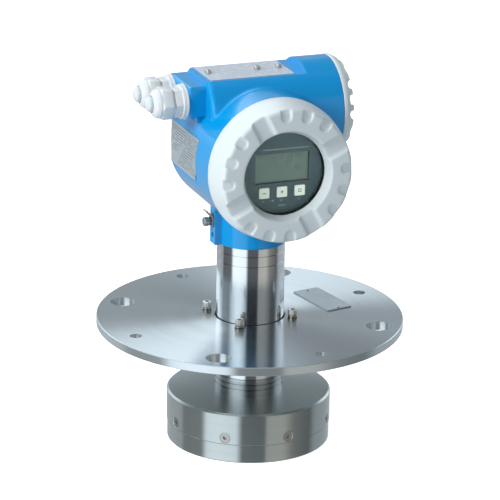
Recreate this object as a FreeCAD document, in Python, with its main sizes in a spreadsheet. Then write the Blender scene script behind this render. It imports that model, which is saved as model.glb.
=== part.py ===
import FreeCAD, Part
import math
import os
import re
import Sketcher
from FreeCAD import Placement, Rotation, Vector

# A radar level transmitter with a planar antenna on a bolted flange plate.
# Millimetres, +Z up the neck, origin at the centre of the antenna's flat lower face.
# The display looks along -Y, the terminal cover is on +X and the cable glands are on -X.

SIZES = {
    # flange plate
    "flange_diameter": 280.0,
    "flange_thickness": 8.0,
    "flange_underside": 109.0,
    "flange_hole_margin": 20.0,
    "flange_hole": 23.0,
    "small_hole": 11.0,
    "flange_clocking": 11.0,
    "flange_bore_gap": 1.2,
    "flange_edge": 0.6,
    # tag riveted to the flange
    "tag_length": 59.0,
    "tag_width": 27.0,
    "tag_thickness": 1.0,
    "tag_centre": 79.0,
    "tag_corner": 1.5,
    "rivet_inset": 3.5,
    "rivet_shank": 2.4,
    "rivet_head": 4.2,
    "rivet_dome": 1.0,
    "rivet_depth": 3.0,
    # ring that clamps the flange to the neck tube, and its screws
    "clamp_diameter": 100.0,
    "clamp_thickness": 14.0,
    "clamp_screw_circle": 80.0,
    "screw_shank": 5.0,
    "screw_head": 8.5,
    "screw_head_height": 5.0,
    "screw_socket": 4.0,
    "screw_socket_depth": 2.6,
    "screw_clearance": 0.25,
    "flat_washer": 9.6,
    "flat_washer_height": 1.0,
    "spring_washer": 8.8,
    "spring_washer_height": 2.4,
    "seal_cord": 2.6,
    "seal_gap": 0.1,
    "slip_fit": 0.05,
    # neck tube
    "tube_diameter": 62.0,
    "tube_wall": 3.0,
    "line_depth": 0.5,
    "line_width": 0.9,
    "upper_line_drop": 7.5,
    "line_pitch": 9.5,
    "collar_line_rise": 6.5,
    "collar_line_pitch": 5.0,
    "spigot_step": 4.0,
    "spigot_wall": 4.0,
    "spigot_length": 26.0,
    "spigot_groove_depth": 1.5,
    "spigot_groove_width": 7.0,
    # antenna
    "antenna_diameter": 150.0,
    "antenna_top": 47.0,
    "antenna_edge": 1.6,
    "antenna_wall": 9.0,
    "antenna_roof": 8.0,
    "hub_height": 12.0,
    "base_step": 0.6,
    "base_height": 17.0,
    "seam_height": 0.8,
    "base_wall": 11.4,
    "base_lip": 2.0,
    "window_thickness": 6.0,
    "window_margin": 17.0,
    "board_thickness": 1.6,
    "patch_size": 12.0,
    "patch_pitch": 19.0,
    "patch_thickness": 0.4,
    "antenna_screw_height": 23.5,
    "antenna_screw_head": 9.8,
    "antenna_screw_shank": 5.0,
    "antenna_screw_sink": 2.6,
    "antenna_screw_length": 12.0,
    "antenna_screw_socket": 3.0,
    "antenna_clocking": 8.0,
    "feed_diameter": 6.4,
    "feed_nut": 12.0,
    "feed_nut_height": 9.0,
    "feed_gap": 0.6,
    # housing casting
    "drum_diameter": 126.0,
    "drum_rise": 85.0,
    "drum_shoulder": 57.2,
    "drum_back": 54.0,
    "drum_back_round": 7.0,
    "thread_diameter": 115.0,
    "thread_length": 12.0,
    "display_bore": 106.0,
    "display_floor": 34.0,
    "bay_diameter": 68.0,
    "bay_across": 14.0,
    "bay_drop": 12.0,
    "bay_back": 46.0,
    "side_flat": 58.7,
    "side_flat_front": 22.5,
    "barrel_diameter": 88.0,
    "barrel_rise": 34.0,
    "barrel_offset": 12.0,
    "barrel_left": 50.0,
    "barrel_shoulder": 75.1,
    "barrel_thread": 72.0,
    "barrel_thread_length": 13.0,
    "mouth_recess": 2.4,
    "mouth_recess_gap": 2.1,
    "barrel_bore": 66.0,
    "barrel_floor": 28.0,
    "barrel_edge": 5.0,
    "top_flat_drop": 8.0,
    "top_flat_margin": 29.6,
    "block_face": 66.0,
    "block_width": 60.0,
    "block_shift": 5.2,
    "block_below": 12.9,
    "block_above": 15.8,
    "block_round": 3.0,
    "block_back_round": 10.0,
    "web_reach": 6.0,
    "web_thickness": 9.0,
    "junction_round": 4.0,
    "neck_step": 0.7,
    "neck_bottom": 189.0,
    "neck_length": 25.0,
    "neck_flare_diameter": 88.0,
    "neck_flare_height": 22.0,
    "neck_bore": 40.0,
    "socket_depth": 28.0,
    "turn_gap": 0.3,
    "boss_face": 37.4,
    "boss_width": 13.0,
    "boss_slope": 5.0,
    # plates on the housing
    "plate_thickness": 0.8,
    "top_plate_length": 79.0,
    "top_plate_width": 46.0,
    "top_plate_left": 44.5,
    "top_screw_first": 39.0,
    "top_screw_second": 46.5,
    "top_screw_third": 20.5,
    "top_screw_head": 5.6,
    "top_screw_head_height": 3.2,
    "top_screw_shank": 3.0,
    "top_screw_depth": 4.0,
    "side_plate_back": 50.5,
    "side_plate_front": 21.4,
    "side_plate_slant": 8.5,
    "side_plate_height": 40.0,
    # display cover
    "cover_diameter": 129.0,
    "cover_height": 30.7,
    "cover_band": 8.0,
    "cover_face": 121.0,
    "cover_round": 3.0,
    "cover_rebate": 3.4,
    "cover_rebate_gap": 3.0,
    "cover_thread_depth": 14.5,
    "cover_cavity_depth": 22.5,
    "cover_slope": 5.0,
    "window_mouth": 82.8,
    "window_clear": 74.3,
    "window_funnel": 10.2,
    "glass_diameter": 82.0,
    "glass_thickness": 3.5,
    "glass_fit": 0.2,
    "glass_gasket": 0.5,
    "glass_boss_wall": 5.0,
    "glass_ring_thickness": 1.5,
    "glass_ring_wall": 3.8,
    "notch_width": 4.0,
    "cover_channel_inner": 36.0,
    "cover_channel_width": 14.5,
    "cover_channel_depth": 3.4,
    "cover_scallop_width": 10.4,
    "cover_scallop_depth": 2.9,
    "cover_scallop_centre": 54.2,
    "scallop_pitch": 20.5,
    "cover_clocking": 27.5,
    "o_ring_cord": 2.2,
    # terminal cover
    "end_cover_diameter": 89.0,
    "end_cover_height": 11.0,
    "end_cover_band": 3.5,
    "end_cover_face": 80.0,
    "end_cover_round": 2.0,
    "end_cover_skirt": 12.0,
    "end_cover_skirt_wall": 3.0,
    "end_cover_cavity": 6.6,
    "end_cover_channel_inner": 24.0,
    "end_cover_channel_width": 10.0,
    "end_cover_channel_depth": 1.6,
    "end_cover_scallop_width": 8.4,
    "end_cover_scallop_depth": 2.4,
    "end_cover_scallop_centre": 35.5,
    "end_cover_clocking": 27.5,
    "end_o_ring_cord": 1.6,
    # display module
    "bezel_diameter": 90.0,
    "bezel_thickness": 2.0,
    "bezel_gap": 0.3,
    "holder_wall": 2.6,
    "holder_ledge": 2.4,
    "display_board_thickness": 1.6,
    "screen_width": 50.4,
    "screen_height": 26.8,
    "screen_lift": 4.0,
    "screen_border": 2.2,
    "screen_thickness": 3.1,
    "key_size": 9.6,
    "key_pitch": 16.8,
    "key_drop": 18.0,
    "key_proud": 0.6,
    "key_thickness": 3.2,
    "key_gap": 0.3,
    "key_travel": 0.5,
    "key_corner": 1.0,
    "dome_diameter": 6.0,
    "dome_gap": 0.15,
    # electronics and terminals
    "module_gap": 1.0,
    "module_front": 30.0,
    "module_rib": 1.0,
    "terminal_depth": 22.0,
    "terminal_width": 42.0,
    "terminal_height": 28.0,
    "terminal_step": 9.0,
    "terminal_screw": 5.0,
    "terminal_screw_pitch": 9.5,
    "terminal_screw_height": 1.6,
    # cable glands
    "gland_spacing": 33.0,
    "gland_rise": 16.2,
    "gland_thread": 20.0,
    "gland_thread_length": 12.0,
    "gland_gasket": 32.0,
    "gland_gasket_thickness": 1.8,
    "gland_hex": 25.0,
    "gland_hex_end": 11.5,
    "gland_collar": 31.0,
    "gland_collar_end": 4.8,
    "gland_barrel": 24.0,
    "gland_barrel_end": 22.2,
    "gland_bore": 15.0,
    "nut_start": 13.2,
    "nut_thread_length": 10.4,
    "nut_hex": 27.0,
    "nut_shoulder": 26.4,
    "nut_end": 30.7,
    "nut_mouth": 15.2,
    "nut_lip": 2.0,
    "insert_gap": 0.3,
    "insert_diameter": 21.0,
    "insert_tip": 16.4,
    "insert_length": 4.8,
    "plug_diameter": 13.8,
    "plug_tail": 6.0,
    "plug_end": 32.5,
    "plug_dome": 3.6,
    # earth terminal and lock screw on the neck
    "earth_rise": 21.0,
    "earth_screw": 5.0,
    "earth_head": 8.4,
    "earth_head_height": 4.2,
    "earth_slot": 1.2,
    "clip_thickness": 1.8,
    "clip_width": 8.5,
    "clip_half_height": 4.5,
    "clip_reach": 6.4,
    "clip_rise": 6.6,
    "earth_washer": 8.0,
    "earth_washer_height": 1.2,
    "earth_spring_height": 1.6,
    "lock_rise": 8.0,
    "lock_screw": 5.0,
    "lock_recess": 1.2,
    "lock_socket": 2.5,
}

# Sizes that follow from others, so that neighbouring pieces stay together when one changes.
FOLLOWING = {
    "flange_hole_circle": "flange_diameter - 2 * flange_hole_margin",
    "upper_line": "neck_bottom - upper_line_drop",
    "lower_line": "upper_line - line_pitch",
    "collar_line": "antenna_top + collar_line_rise",
    "spigot_diameter": "tube_diameter - 2 * spigot_step",
    "neck_diameter": "tube_diameter + 2 * neck_step",
    "base_diameter": "antenna_diameter - 2 * base_step",
    "window_diameter": "antenna_diameter - 2 * window_margin",
    "drum_axis": "neck_bottom + drum_rise",
    "bay_axis": "drum_axis - bay_drop",
    "barrel_axis": "drum_axis + barrel_rise",
    "top_flat": "barrel_axis + barrel_diameter / 2 - top_flat_drop",
    "top_flat_right": "barrel_shoulder - top_flat_margin",
    "gland_height": "barrel_axis + gland_rise",
    "block_centre": "barrel_offset + block_shift",
    "block_bottom": "gland_height - block_below",
    "block_top": "gland_height + block_above",
    "neck_flare": "neck_bottom + neck_length",
    "neck_flare_top": "neck_flare + neck_flare_height",
    "earth_height": "neck_bottom + earth_rise",
    "lock_height": "neck_bottom + lock_rise",
}

FLANGE_HOLES = 4
CLAMP_SCREWS = 4
ANTENNA_SCREWS = 8
PATCH_ROWS = 4
COVER_CHANNELS = 4
TERMINAL_SCREWS = 4

UPRIGHT = Rotation()
TO_FRONT = Rotation(Vector(1, 0, 0), 90)
TO_RIGHT = Rotation(Vector(0, 1, 0), 90)
TO_LEFT = Rotation(Vector(0, 1, 0), -90)

doc = FreeCAD.newDocument("RadarLevelTransmitter")
sheet = doc.addObject("Spreadsheet::Sheet", "Sizes")
rows = [(alias, str(number)) for alias, number in SIZES.items()]
rows += [(alias, f"={formula}") for alias, formula in FOLLOWING.items()]
for row, (alias, entry) in enumerate(rows, start=1):
    sheet.set(f"A{row}", alias)
    sheet.set(f"B{row}", entry)
    sheet.setAlias(f"B{row}", alias)
doc.recompute()

WORDS = re.compile("|".join(rf"\b{alias}\b" for alias in sorted([*SIZES, *FOLLOWING], key=len, reverse=True)))
nodes = {}


def linked(expression):
    """Write an expression of size names as one that reads the sheet."""
    return WORDS.sub(lambda match: f"Sizes.{match.group(0)}", expression)


def size(alias):
    """The number in the sheet, for choosing edges and for counts."""
    return float(sheet.get(alias))


def bind(item, **links):
    """Tie properties of an object to the sheet; a double underscore stands for a dot."""
    for prop, expression in links.items():
        item.setExpression(prop.replace("__", "."), linked(expression))


def place(item, at=("0", "0", "0"), turn=UPRIGHT):
    """Give an object its place, each coordinate an expression of sizes."""
    item.Placement = Placement(Vector(0, 0, 0), turn)
    bind(item, Placement__Base__x=at[0], Placement__Base__y=at[1], Placement__Base__z=at[2])


def keep(node, item):
    """Name a finished sub-part."""
    item.Label = node
    nodes[node] = item
    return item


def clocked(item, angle, at=("0", "0", "0")):
    """Place an object turned about its own upright axis by a size of the sheet."""
    item.Placement = Placement(Vector(0, 0, 0), Rotation(Vector(0, 0, 1), 1))
    bind(item, Placement__Base__x=at[0], Placement__Base__y=at[1], Placement__Base__z=at[2])
    bind(item, Placement__Rotation__Angle=angle)


# Part primitives and booleans


def cylinder(radius, height, at=("0", "0", "0"), turn=UPRIGHT):
    """A plain cylinder that starts at a point and runs along the turned Z axis."""
    item = doc.addObject("Part::Cylinder", "Cylinder")
    bind(item, Radius=radius, Height=height)
    place(item, at, turn)
    return item


def cone(lower, upper, height, at=("0", "0", "0"), turn=UPRIGHT):
    """A cone frustum from one radius to another."""
    item = doc.addObject("Part::Cone", "Cone")
    bind(item, Radius1=lower, Radius2=upper, Height=height)
    place(item, at, turn)
    return item


def block(lengths, at):
    """A box given by its lengths and its lowest corner."""
    item = doc.addObject("Part::Box", "Block")
    bind(item, Length=lengths[0], Width=lengths[1], Height=lengths[2])
    place(item, at)
    return item


def hexagon(across_flats, height, at=("0", "0", "0"), turn=UPRIGHT):
    """A six-sided prism by its size across flats."""
    item = doc.addObject("Part::Prism", "Hexagon")
    item.Polygon = 6
    bind(item, Circumradius=f"({across_flats}) / sqrt(3)", Height=height)
    place(item, at, turn)
    return item


def ring(outer, inner, height, at=("0", "0", "0"), turn=UPRIGHT):
    """A flat ring by its two radii."""
    reach = f"({height}) + 2"
    item = cut(cylinder(outer, height), cylinder(inner, reach, ("0", "0", "-1")))
    place(item, at, turn)
    return item


def o_ring(mean_radius, cord, at, turn):
    """A round-section sealing ring."""
    item = doc.addObject("Part::Torus", "Torus")
    bind(item, Radius1=mean_radius, Radius2=f"({cord}) / 2")
    place(item, at, turn)
    return item


def fuse(first, *others):
    """Join pieces into one solid, one after another."""
    joined = first
    for piece in others:
        item = doc.addObject("Part::Fuse", "Joined")
        item.Base = joined
        item.Tool = piece
        item.Refine = piece is others[-1]
        joined = item
    return joined


def group(*pieces):
    """Keep separate solids together as one sub-part."""
    item = doc.addObject("Part::Compound", "Group")
    item.Links = list(pieces)
    return item


def cut(base, *tools):
    """Take tools away from a base, one after another."""
    left = base
    for tool in tools:
        item = doc.addObject("Part::Cut", "Cut")
        item.Base = left
        item.Tool = tool
        item.Refine = tool is tools[-1]
        left = item
    return left


def rounded(base, radius, chosen):
    """Round the edges of a base that a test chooses."""
    doc.recompute()
    item = doc.addObject("Part::Fillet", "Rounded")
    item.Base = base
    item.Edges = [
        (number, radius, radius)
        for number, edge in enumerate(base.Shape.Edges, start=1)
        if chosen(edge)
    ]
    return item


# PartDesign bodies


def new_body(node):
    """A body that may hold several solids, such as a set of screws."""
    item = doc.addObject("PartDesign::Body", "Body")
    item.AllowCompound = True
    return keep(node, item)


def origin_of(body, role):
    """One of the body's own origin planes or axes."""
    return next(item for item in body.Origin.OriginFeatures if item.Role == role)


def sketch_on(body, role="XY_Plane", lift="0"):
    """A sketch on an origin plane of its body, lifted along the plane's normal."""
    sketch = body.newObject("Sketcher::SketchObject", "Sketch")
    sketch.AttachmentSupport = [(origin_of(body, role), "")]
    sketch.MapMode = "FlatFace"
    bind(sketch, AttachmentOffset__Base__z=lift)
    return sketch


def fix_point(sketch, curve, point, across, up):
    """Hold a point of a sketch at two expressions from the sketch's origin."""
    for kind, expression in (("DistanceX", across), ("DistanceY", up)):
        number = sketch.addConstraint(Sketcher.Constraint(kind, -1, 1, curve, point, 1.0))
        sketch.setExpression(f"Constraints[{number}]", linked(expression))


def draw_outline(sketch, corners):
    """A closed outline of straight lines through corners given as expressions."""
    count = len(corners)
    first = sketch.GeometryCount
    spread = [
        Vector(50 + 20 * math.cos(math.tau * turn / count), 20 * math.sin(math.tau * turn / count), 0)
        for turn in range(count)
    ]
    for index in range(count):
        sketch.addGeometry(Part.LineSegment(spread[index], spread[(index + 1) % count]))
    for index in range(count):
        following = first + (index + 1) % count
        sketch.addConstraint(Sketcher.Constraint("Coincident", first + index, 2, following, 1))
    for index, (across, up) in enumerate(corners):
        fix_point(sketch, first + index, 1, across, up)


def draw_circle(sketch, radius, across="0", up="0"):
    """A circle of a sketch, its radius and centre given as expressions."""
    number = sketch.addGeometry(Part.Circle(Vector(3, 4, 0), Vector(0, 0, 1), 5))
    fix_point(sketch, number, 3, across, up)
    limit = sketch.addConstraint(Sketcher.Constraint("Radius", number, 5.0))
    sketch.setExpression(f"Constraints[{limit}]", linked(radius))


def draw_rectangle(sketch, width, height, across="0", up="0"):
    """A rectangle about a centre."""
    left = f"({across}) - ({width}) / 2"
    right = f"({across}) + ({width}) / 2"
    low = f"({up}) - ({height}) / 2"
    high = f"({up}) + ({height}) / 2"
    draw_outline(sketch, [(left, low), (right, low), (right, high), (left, high)])


def draw_hexagon(sketch, across_flats, across="0", up="0"):
    """A regular hexagon by its size across flats."""
    corners = []
    for turn in range(6):
        cosine = math.cos(math.radians(60 * turn))
        sine = math.sin(math.radians(60 * turn))
        reach = f"({across_flats}) / sqrt(3)"
        corners.append((f"({across}) + {reach} * {cosine:.8f}", f"({up}) + {reach} * {sine:.8f}"))
    draw_outline(sketch, corners)


def revolve(body, outline):
    """Turn an outline of (radius, height) pairs about the body's Z axis."""
    sketch = sketch_on(body, "XZ_Plane")
    draw_outline(sketch, outline)
    feature = body.newObject("PartDesign::Revolution", "Revolution")
    feature.Profile = sketch
    feature.ReferenceAxis = (sketch, ["V_Axis"])
    feature.Angle = 360
    return feature


def pad(body, sketch, length):
    """Raise a sketch by a length along its normal."""
    feature = body.newObject("PartDesign::Pad", "Pad")
    feature.Profile = sketch
    bind(feature, Length=length)
    return feature


def pocket(body, sketch, depth=None):
    """Cut a sketch down by a depth, or right through both ways."""
    feature = body.newObject("PartDesign::Pocket", "Pocket")
    feature.Profile = sketch
    if depth is None:
        feature.Type = "ThroughAll"
        feature.SideType = "Symmetric"
    else:
        bind(feature, Length=depth)
    return feature


def around(body, feature, count):
    """Repeat a feature round the body's Z axis."""
    pattern = body.newObject("PartDesign::PolarPattern", "PolarPattern")
    pattern.Originals = [feature]
    pattern.Axis = (origin_of(body, "Z_Axis"), [""])
    pattern.Angle = 360
    pattern.Occurrences = count
    body.Tip = pattern
    return pattern


def along(body, feature, role, pitch, count):
    """Repeat a feature along an axis of the body at a pitch."""
    pattern = body.newObject("PartDesign::LinearPattern", "LinearPattern")
    pattern.Originals = [feature]
    pattern.Direction = (origin_of(body, role), [""])
    pattern.Occurrences = count
    bind(pattern, Length=f"({pitch}) * {count - 1}")
    body.Tip = pattern
    return pattern


def edges_where(feature, chosen):
    """The names of a feature's edges that a test chooses."""
    doc.recompute()
    return [f"Edge{number}" for number, edge in enumerate(feature.Shape.Edges, start=1) if chosen(edge)]


def soften(body, feature, kind, length, chosen):
    """Fillet or chamfer the chosen edges of the body's last feature."""
    names = edges_where(feature, chosen)
    finish = body.newObject(f"PartDesign::{kind}", kind)
    finish.Base = (feature, names)
    if kind == "Fillet":
        bind(finish, Radius=length)
    else:
        bind(finish, Size=length)
    body.Tip = finish
    return finish


def is_circle(edge, radius, height, slack=0.01):
    """Whether an edge is a round one of this radius at this height along Z."""
    curve = edge.Curve
    if not isinstance(curve, Part.Circle):
        return False
    return abs(curve.Radius - radius) < slack and abs(curve.Center.z - height) < slack


# Flange plate, tag and clamp


def make_flange_plate():
    """The round plate with its bolt holes, and the screw holes near its bore."""
    body = new_body("flange_plate")
    sketch = sketch_on(body)
    draw_circle(sketch, "flange_diameter / 2")
    draw_circle(sketch, "tube_diameter / 2 + flange_bore_gap")
    plate = pad(body, sketch, "flange_thickness")
    rim = size("flange_diameter") / 2
    top = size("flange_thickness")
    soften(
        body, plate, "Chamfer", "flange_edge",
        lambda edge: is_circle(edge, rim, top) or is_circle(edge, rim, 0.0),
    )
    holes = [
        ("flange_hole / 2", "flange_hole_circle / 2", 45),
        ("small_hole / 2", "flange_hole_circle / 2", 0),
        ("screw_shank / 2 + screw_clearance", "clamp_screw_circle / 2", 45),
    ]
    for radius, reach, angle in holes:
        sketch = sketch_on(body)
        cosine = f"{math.cos(math.radians(angle)):.10f}"
        sine = f"{math.sin(math.radians(angle)):.10f}"
        draw_circle(sketch, radius, f"({reach}) * {cosine}", f"({reach}) * {sine}")
        around(body, pocket(body, sketch), FLANGE_HOLES)
    sketch = sketch_on(body, lift="flange_thickness")
    for side in (-1, 1):
        draw_circle(sketch, "rivet_shank / 2 + slip_fit", "tag_centre", f"{side} * (tag_length / 2 - rivet_inset)")
    body.Tip = pocket(body, sketch, "rivet_depth + slip_fit")
    clocked(body, "flange_clocking", ("0", "0", "flange_underside"))


def make_tag():
    """The plate riveted across the flange, with no print on it."""
    body = new_body("flange_tag")
    sketch = sketch_on(body)
    draw_rectangle(sketch, "tag_width", "tag_length", "tag_centre")
    plate = pad(body, sketch, "tag_thickness")
    soften(
        body, plate, "Fillet", "tag_corner",
        lambda edge: abs(edge.Vertexes[0].Z - edge.Vertexes[-1].Z) > size("tag_thickness") / 2,
    )
    sketch = sketch_on(body, lift="tag_thickness")
    for side in (-1, 1):
        draw_circle(sketch, "rivet_shank / 2 + slip_fit", "tag_centre", f"{side} * (tag_length / 2 - rivet_inset)")
    body.Tip = pocket(body, sketch, "tag_thickness + 1")
    clocked(body, "flange_clocking", ("0", "0", "flange_underside + flange_thickness"))


def make_tag_rivets():
    """Two domed rivets that hold the tag by the middles of its short sides."""
    body = new_body("tag_rivets")
    feature = revolve(body, [
        ("0", "-rivet_depth"),
        ("rivet_shank / 2", "-rivet_depth"),
        ("rivet_shank / 2", "tag_thickness"),
        ("rivet_head / 2", "tag_thickness"),
        ("rivet_head / 2 * 0.8", "tag_thickness + rivet_dome * 0.65"),
        ("rivet_head / 2 * 0.4", "tag_thickness + rivet_dome"),
        ("0", "tag_thickness + rivet_dome"),
    ])
    along(body, feature, "Y_Axis", "tag_length - 2 * rivet_inset", 2)
    turn = "flange_clocking * 1deg"
    across = "tag_centre"
    start = "(tag_length / 2 - rivet_inset)"
    clocked(body, "flange_clocking", (
        f"{across} * cos({turn}) + {start} * sin({turn})",
        f"{across} * sin({turn}) - {start} * cos({turn})",
        "flange_underside + flange_thickness",
    ))


def make_clamp():
    """The ring under the flange, its seal, and the cap screws on their washers."""
    body = new_body("clamp_ring")
    bore = "tube_diameter / 2 + slip_fit"
    groove = "tube_diameter / 2 + seal_cord + 2 * seal_gap"
    middle = "clamp_thickness / 2"
    half = "(seal_cord / 2 + seal_gap)"
    revolve(body, [
        (bore, "0"),
        ("clamp_diameter / 2 - 2", "0"),
        ("clamp_diameter / 2", "2"),
        ("clamp_diameter / 2", "clamp_thickness"),
        (bore, "clamp_thickness"),
        (bore, f"{middle} + {half}"),
        (groove, f"{middle} + {half}"),
        (groove, f"{middle} - {half}"),
        (bore, f"{middle} - {half}"),
    ])
    sketch = sketch_on(body)
    draw_circle(sketch, "screw_shank / 2 + slip_fit", "clamp_screw_circle / 2")
    around(body, pocket(body, sketch), CLAMP_SCREWS)
    clocked(body, "flange_clocking + 45", ("0", "0", "flange_underside - clamp_thickness"))

    seal = o_ring(
        "tube_diameter / 2 + seal_gap + seal_cord / 2", "seal_cord",
        ("0", "0", "flange_underside - clamp_thickness / 2"), UPRIGHT,
    )
    keep("clamp_seal", seal)

    body = new_body("flange_washers")
    bore = "screw_shank / 2 + screw_clearance"
    sketch = sketch_on(body)
    draw_circle(sketch, "flat_washer / 2", "clamp_screw_circle / 2")
    draw_circle(sketch, bore, "clamp_screw_circle / 2")
    around(body, pad(body, sketch, "flat_washer_height"), CLAMP_SCREWS)
    clocked(body, "flange_clocking + 45", ("0", "0", "flange_underside + flange_thickness"))

    body = new_body("flange_spring_washers")
    sketch = sketch_on(body)
    draw_circle(sketch, "spring_washer / 2", "clamp_screw_circle / 2")
    draw_circle(sketch, bore, "clamp_screw_circle / 2")
    around(body, pad(body, sketch, "spring_washer_height"), CLAMP_SCREWS)
    seat = "flange_underside + flange_thickness + flat_washer_height"
    clocked(body, "flange_clocking + 45", ("0", "0", seat))

    body = new_body("flange_screws")
    seat = f"({seat} + spring_washer_height)"
    sketch = sketch_on(body)
    draw_circle(sketch, "screw_head / 2", "clamp_screw_circle / 2")
    draw_hexagon(sketch, "screw_socket", "clamp_screw_circle / 2")
    head = pad(body, sketch, "screw_head_height")
    sketch = sketch_on(body)
    draw_circle(sketch, "screw_head / 2", "clamp_screw_circle / 2")
    floor = pad(body, sketch, "screw_head_height - screw_socket_depth")
    sketch = sketch_on(body)
    draw_circle(sketch, "screw_shank / 2", "clamp_screw_circle / 2")
    shank = pad(body, sketch, f"{seat} - (flange_underside - clamp_thickness) - 2")
    shank.Reversed = True
    pattern = around(body, head, CLAMP_SCREWS)
    pattern.Originals = [head, floor, shank]
    clocked(body, "flange_clocking + 45", ("0", "0", seat))


# Neck tube and antenna


def make_neck_tube():
    """The polished tube with turned lines and the spigot that the housing turns on."""
    body = new_body("neck_tube")
    outer = "tube_diameter / 2"
    inner = "tube_diameter / 2 - tube_wall"
    shoulder = "neck_bottom - turn_gap"
    spigot = "spigot_diameter / 2"
    outline = [
        (inner, "antenna_top"),
        (outer, "antenna_top"),
    ]
    lines = [f"(collar_line + {turn} * collar_line_pitch)" for turn in range(3)]
    for line in lines + ["lower_line", "upper_line"]:
        outline += [
            (outer, f"{line} - line_width / 2"),
            (f"{outer} - line_depth", f"{line} - line_width / 2"),
            (f"{outer} - line_depth", f"{line} + line_width / 2"),
            (outer, f"{line} + line_width / 2"),
        ]
    groove = "spigot_diameter / 2 - spigot_groove_depth"
    outline += [
        (outer, shoulder),
        (spigot, shoulder),
        (spigot, "lock_height - spigot_groove_width / 2"),
        (groove, "lock_height - spigot_groove_width / 2"),
        (groove, "lock_height + spigot_groove_width / 2"),
        (spigot, "lock_height + spigot_groove_width / 2"),
        (spigot, "neck_bottom + spigot_length"),
        ("spigot_diameter / 2 - spigot_wall", "neck_bottom + spigot_length"),
        ("spigot_diameter / 2 - spigot_wall", "neck_bottom - 8"),
        (inner, "neck_bottom - 14"),
    ]
    revolve(body, outline)


def make_antenna_housing():
    """The turned cup whose hub carries the neck tube."""
    body = new_body("antenna_housing")
    outer = "antenna_diameter / 2"
    inner = "antenna_diameter / 2 - antenna_wall"
    hub = "tube_diameter / 2 - tube_wall - slip_fit"
    feed = "feed_nut / 2 + 1"
    feature = revolve(body, [
        (inner, "base_height + seam_height"),
        (outer, "base_height + seam_height"),
        (outer, "antenna_top - antenna_edge"),
        (f"{outer} - antenna_edge", "antenna_top"),
        (hub, "antenna_top"),
        (hub, "antenna_top + hub_height"),
        (feed, "antenna_top + hub_height"),
        (feed, "antenna_top - antenna_roof"),
        (inner, "antenna_top - antenna_roof"),
    ])
    drill_antenna_screws(body, feature, outer, "screw_clearance")
    clocked(body, "antenna_clocking")


def drill_antenna_screws(body, feature, outer, clearance):
    """Countersunk radial holes, equally spaced round the antenna."""
    sketch = sketch_on(body, "XZ_Plane")
    shank = f"antenna_screw_shank / 2 + {clearance}"
    head = f"antenna_screw_head / 2 + {clearance}"
    level = "antenna_screw_height"
    draw_outline(sketch, [
        (f"{outer} - antenna_screw_length - 1", level),
        (f"{outer} + 2", level),
        (f"{outer} + 2", f"{level} + {head}"),
        (outer, f"{level} + {head}"),
        (f"{outer} - antenna_screw_sink", f"{level} + {shank}"),
        (f"{outer} - antenna_screw_length - 1", f"{level} + {shank}"),
    ])
    hole = body.newObject("PartDesign::Groove", "Groove")
    hole.Profile = sketch
    hole.ReferenceAxis = (sketch, ["Edge1"])
    hole.Angle = 360
    around(body, hole, ANTENNA_SCREWS)


def make_antenna_base():
    """The lower ring that carries the window, the patch board and its backing plate."""
    body = new_body("antenna_base_ring")
    outer = "base_diameter / 2"
    spigot = "antenna_diameter / 2 - antenna_wall - slip_fit"
    bore = "antenna_diameter / 2 - antenna_wall - base_wall"
    recess = "window_diameter / 2 + slip_fit"
    feature = revolve(body, [
        (recess, "0"),
        (f"{outer} - 1", "0"),
        (outer, "1"),
        (outer, "base_height"),
        (spigot, "base_height"),
        (spigot, "antenna_top - antenna_roof - seam_height"),
        (bore, "antenna_top - antenna_roof - seam_height"),
        (bore, "window_thickness + base_lip"),
        (f"{bore} - 2", "window_thickness + base_lip"),
        (f"{bore} - 2", "window_thickness"),
        (recess, "window_thickness"),
    ])
    drill_antenna_screws(body, feature, "antenna_diameter / 2", "slip_fit")
    clocked(body, "antenna_clocking")

    keep("antenna_window", cylinder("window_diameter / 2", "window_thickness"))

    inner = "(antenna_diameter / 2 - antenna_wall - base_wall - slip_fit)"
    body = new_body("patch_board")
    sketch = sketch_on(body)
    draw_circle(sketch, inner)
    pad(body, sketch, "board_thickness")
    sketch = sketch_on(body)
    start = f"patch_pitch * {-(PATCH_ROWS - 1) / 2}"
    draw_rectangle(sketch, "patch_size", "patch_size", start, start)
    patch = pad(body, sketch, "patch_thickness")
    patch.Reversed = True
    row = body.newObject("PartDesign::MultiTransform", "PatchGrid")
    row.Originals = [patch]
    steps = []
    for role in ("X_Axis", "Y_Axis"):
        step = body.newObject("PartDesign::LinearPattern", "PatchRow")
        step.Direction = (origin_of(body, role), [""])
        step.Occurrences = PATCH_ROWS
        bind(step, Length=f"patch_pitch * {PATCH_ROWS - 1}")
        steps.append(step)
    row.Transformations = steps
    body.Tip = row
    place(body, ("0", "0", "window_thickness + base_lip"))

    lower = "window_thickness + base_lip + board_thickness"
    top = "antenna_top - antenna_roof - seam_height"
    plate = cut(
        cylinder(inner, f"{top} - ({lower})", ("0", "0", lower)),
        cylinder("feed_nut / 2 + 1", "antenna_top", ("0", "0", lower)),
    )
    keep("antenna_backing_plate", plate)

    seal = ring(
        "antenna_diameter / 2 - 2", "antenna_diameter / 2 - antenna_wall + slip_fit", "seam_height",
        ("0", "0", "base_height"),
    )
    keep("antenna_seal", seal)


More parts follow.
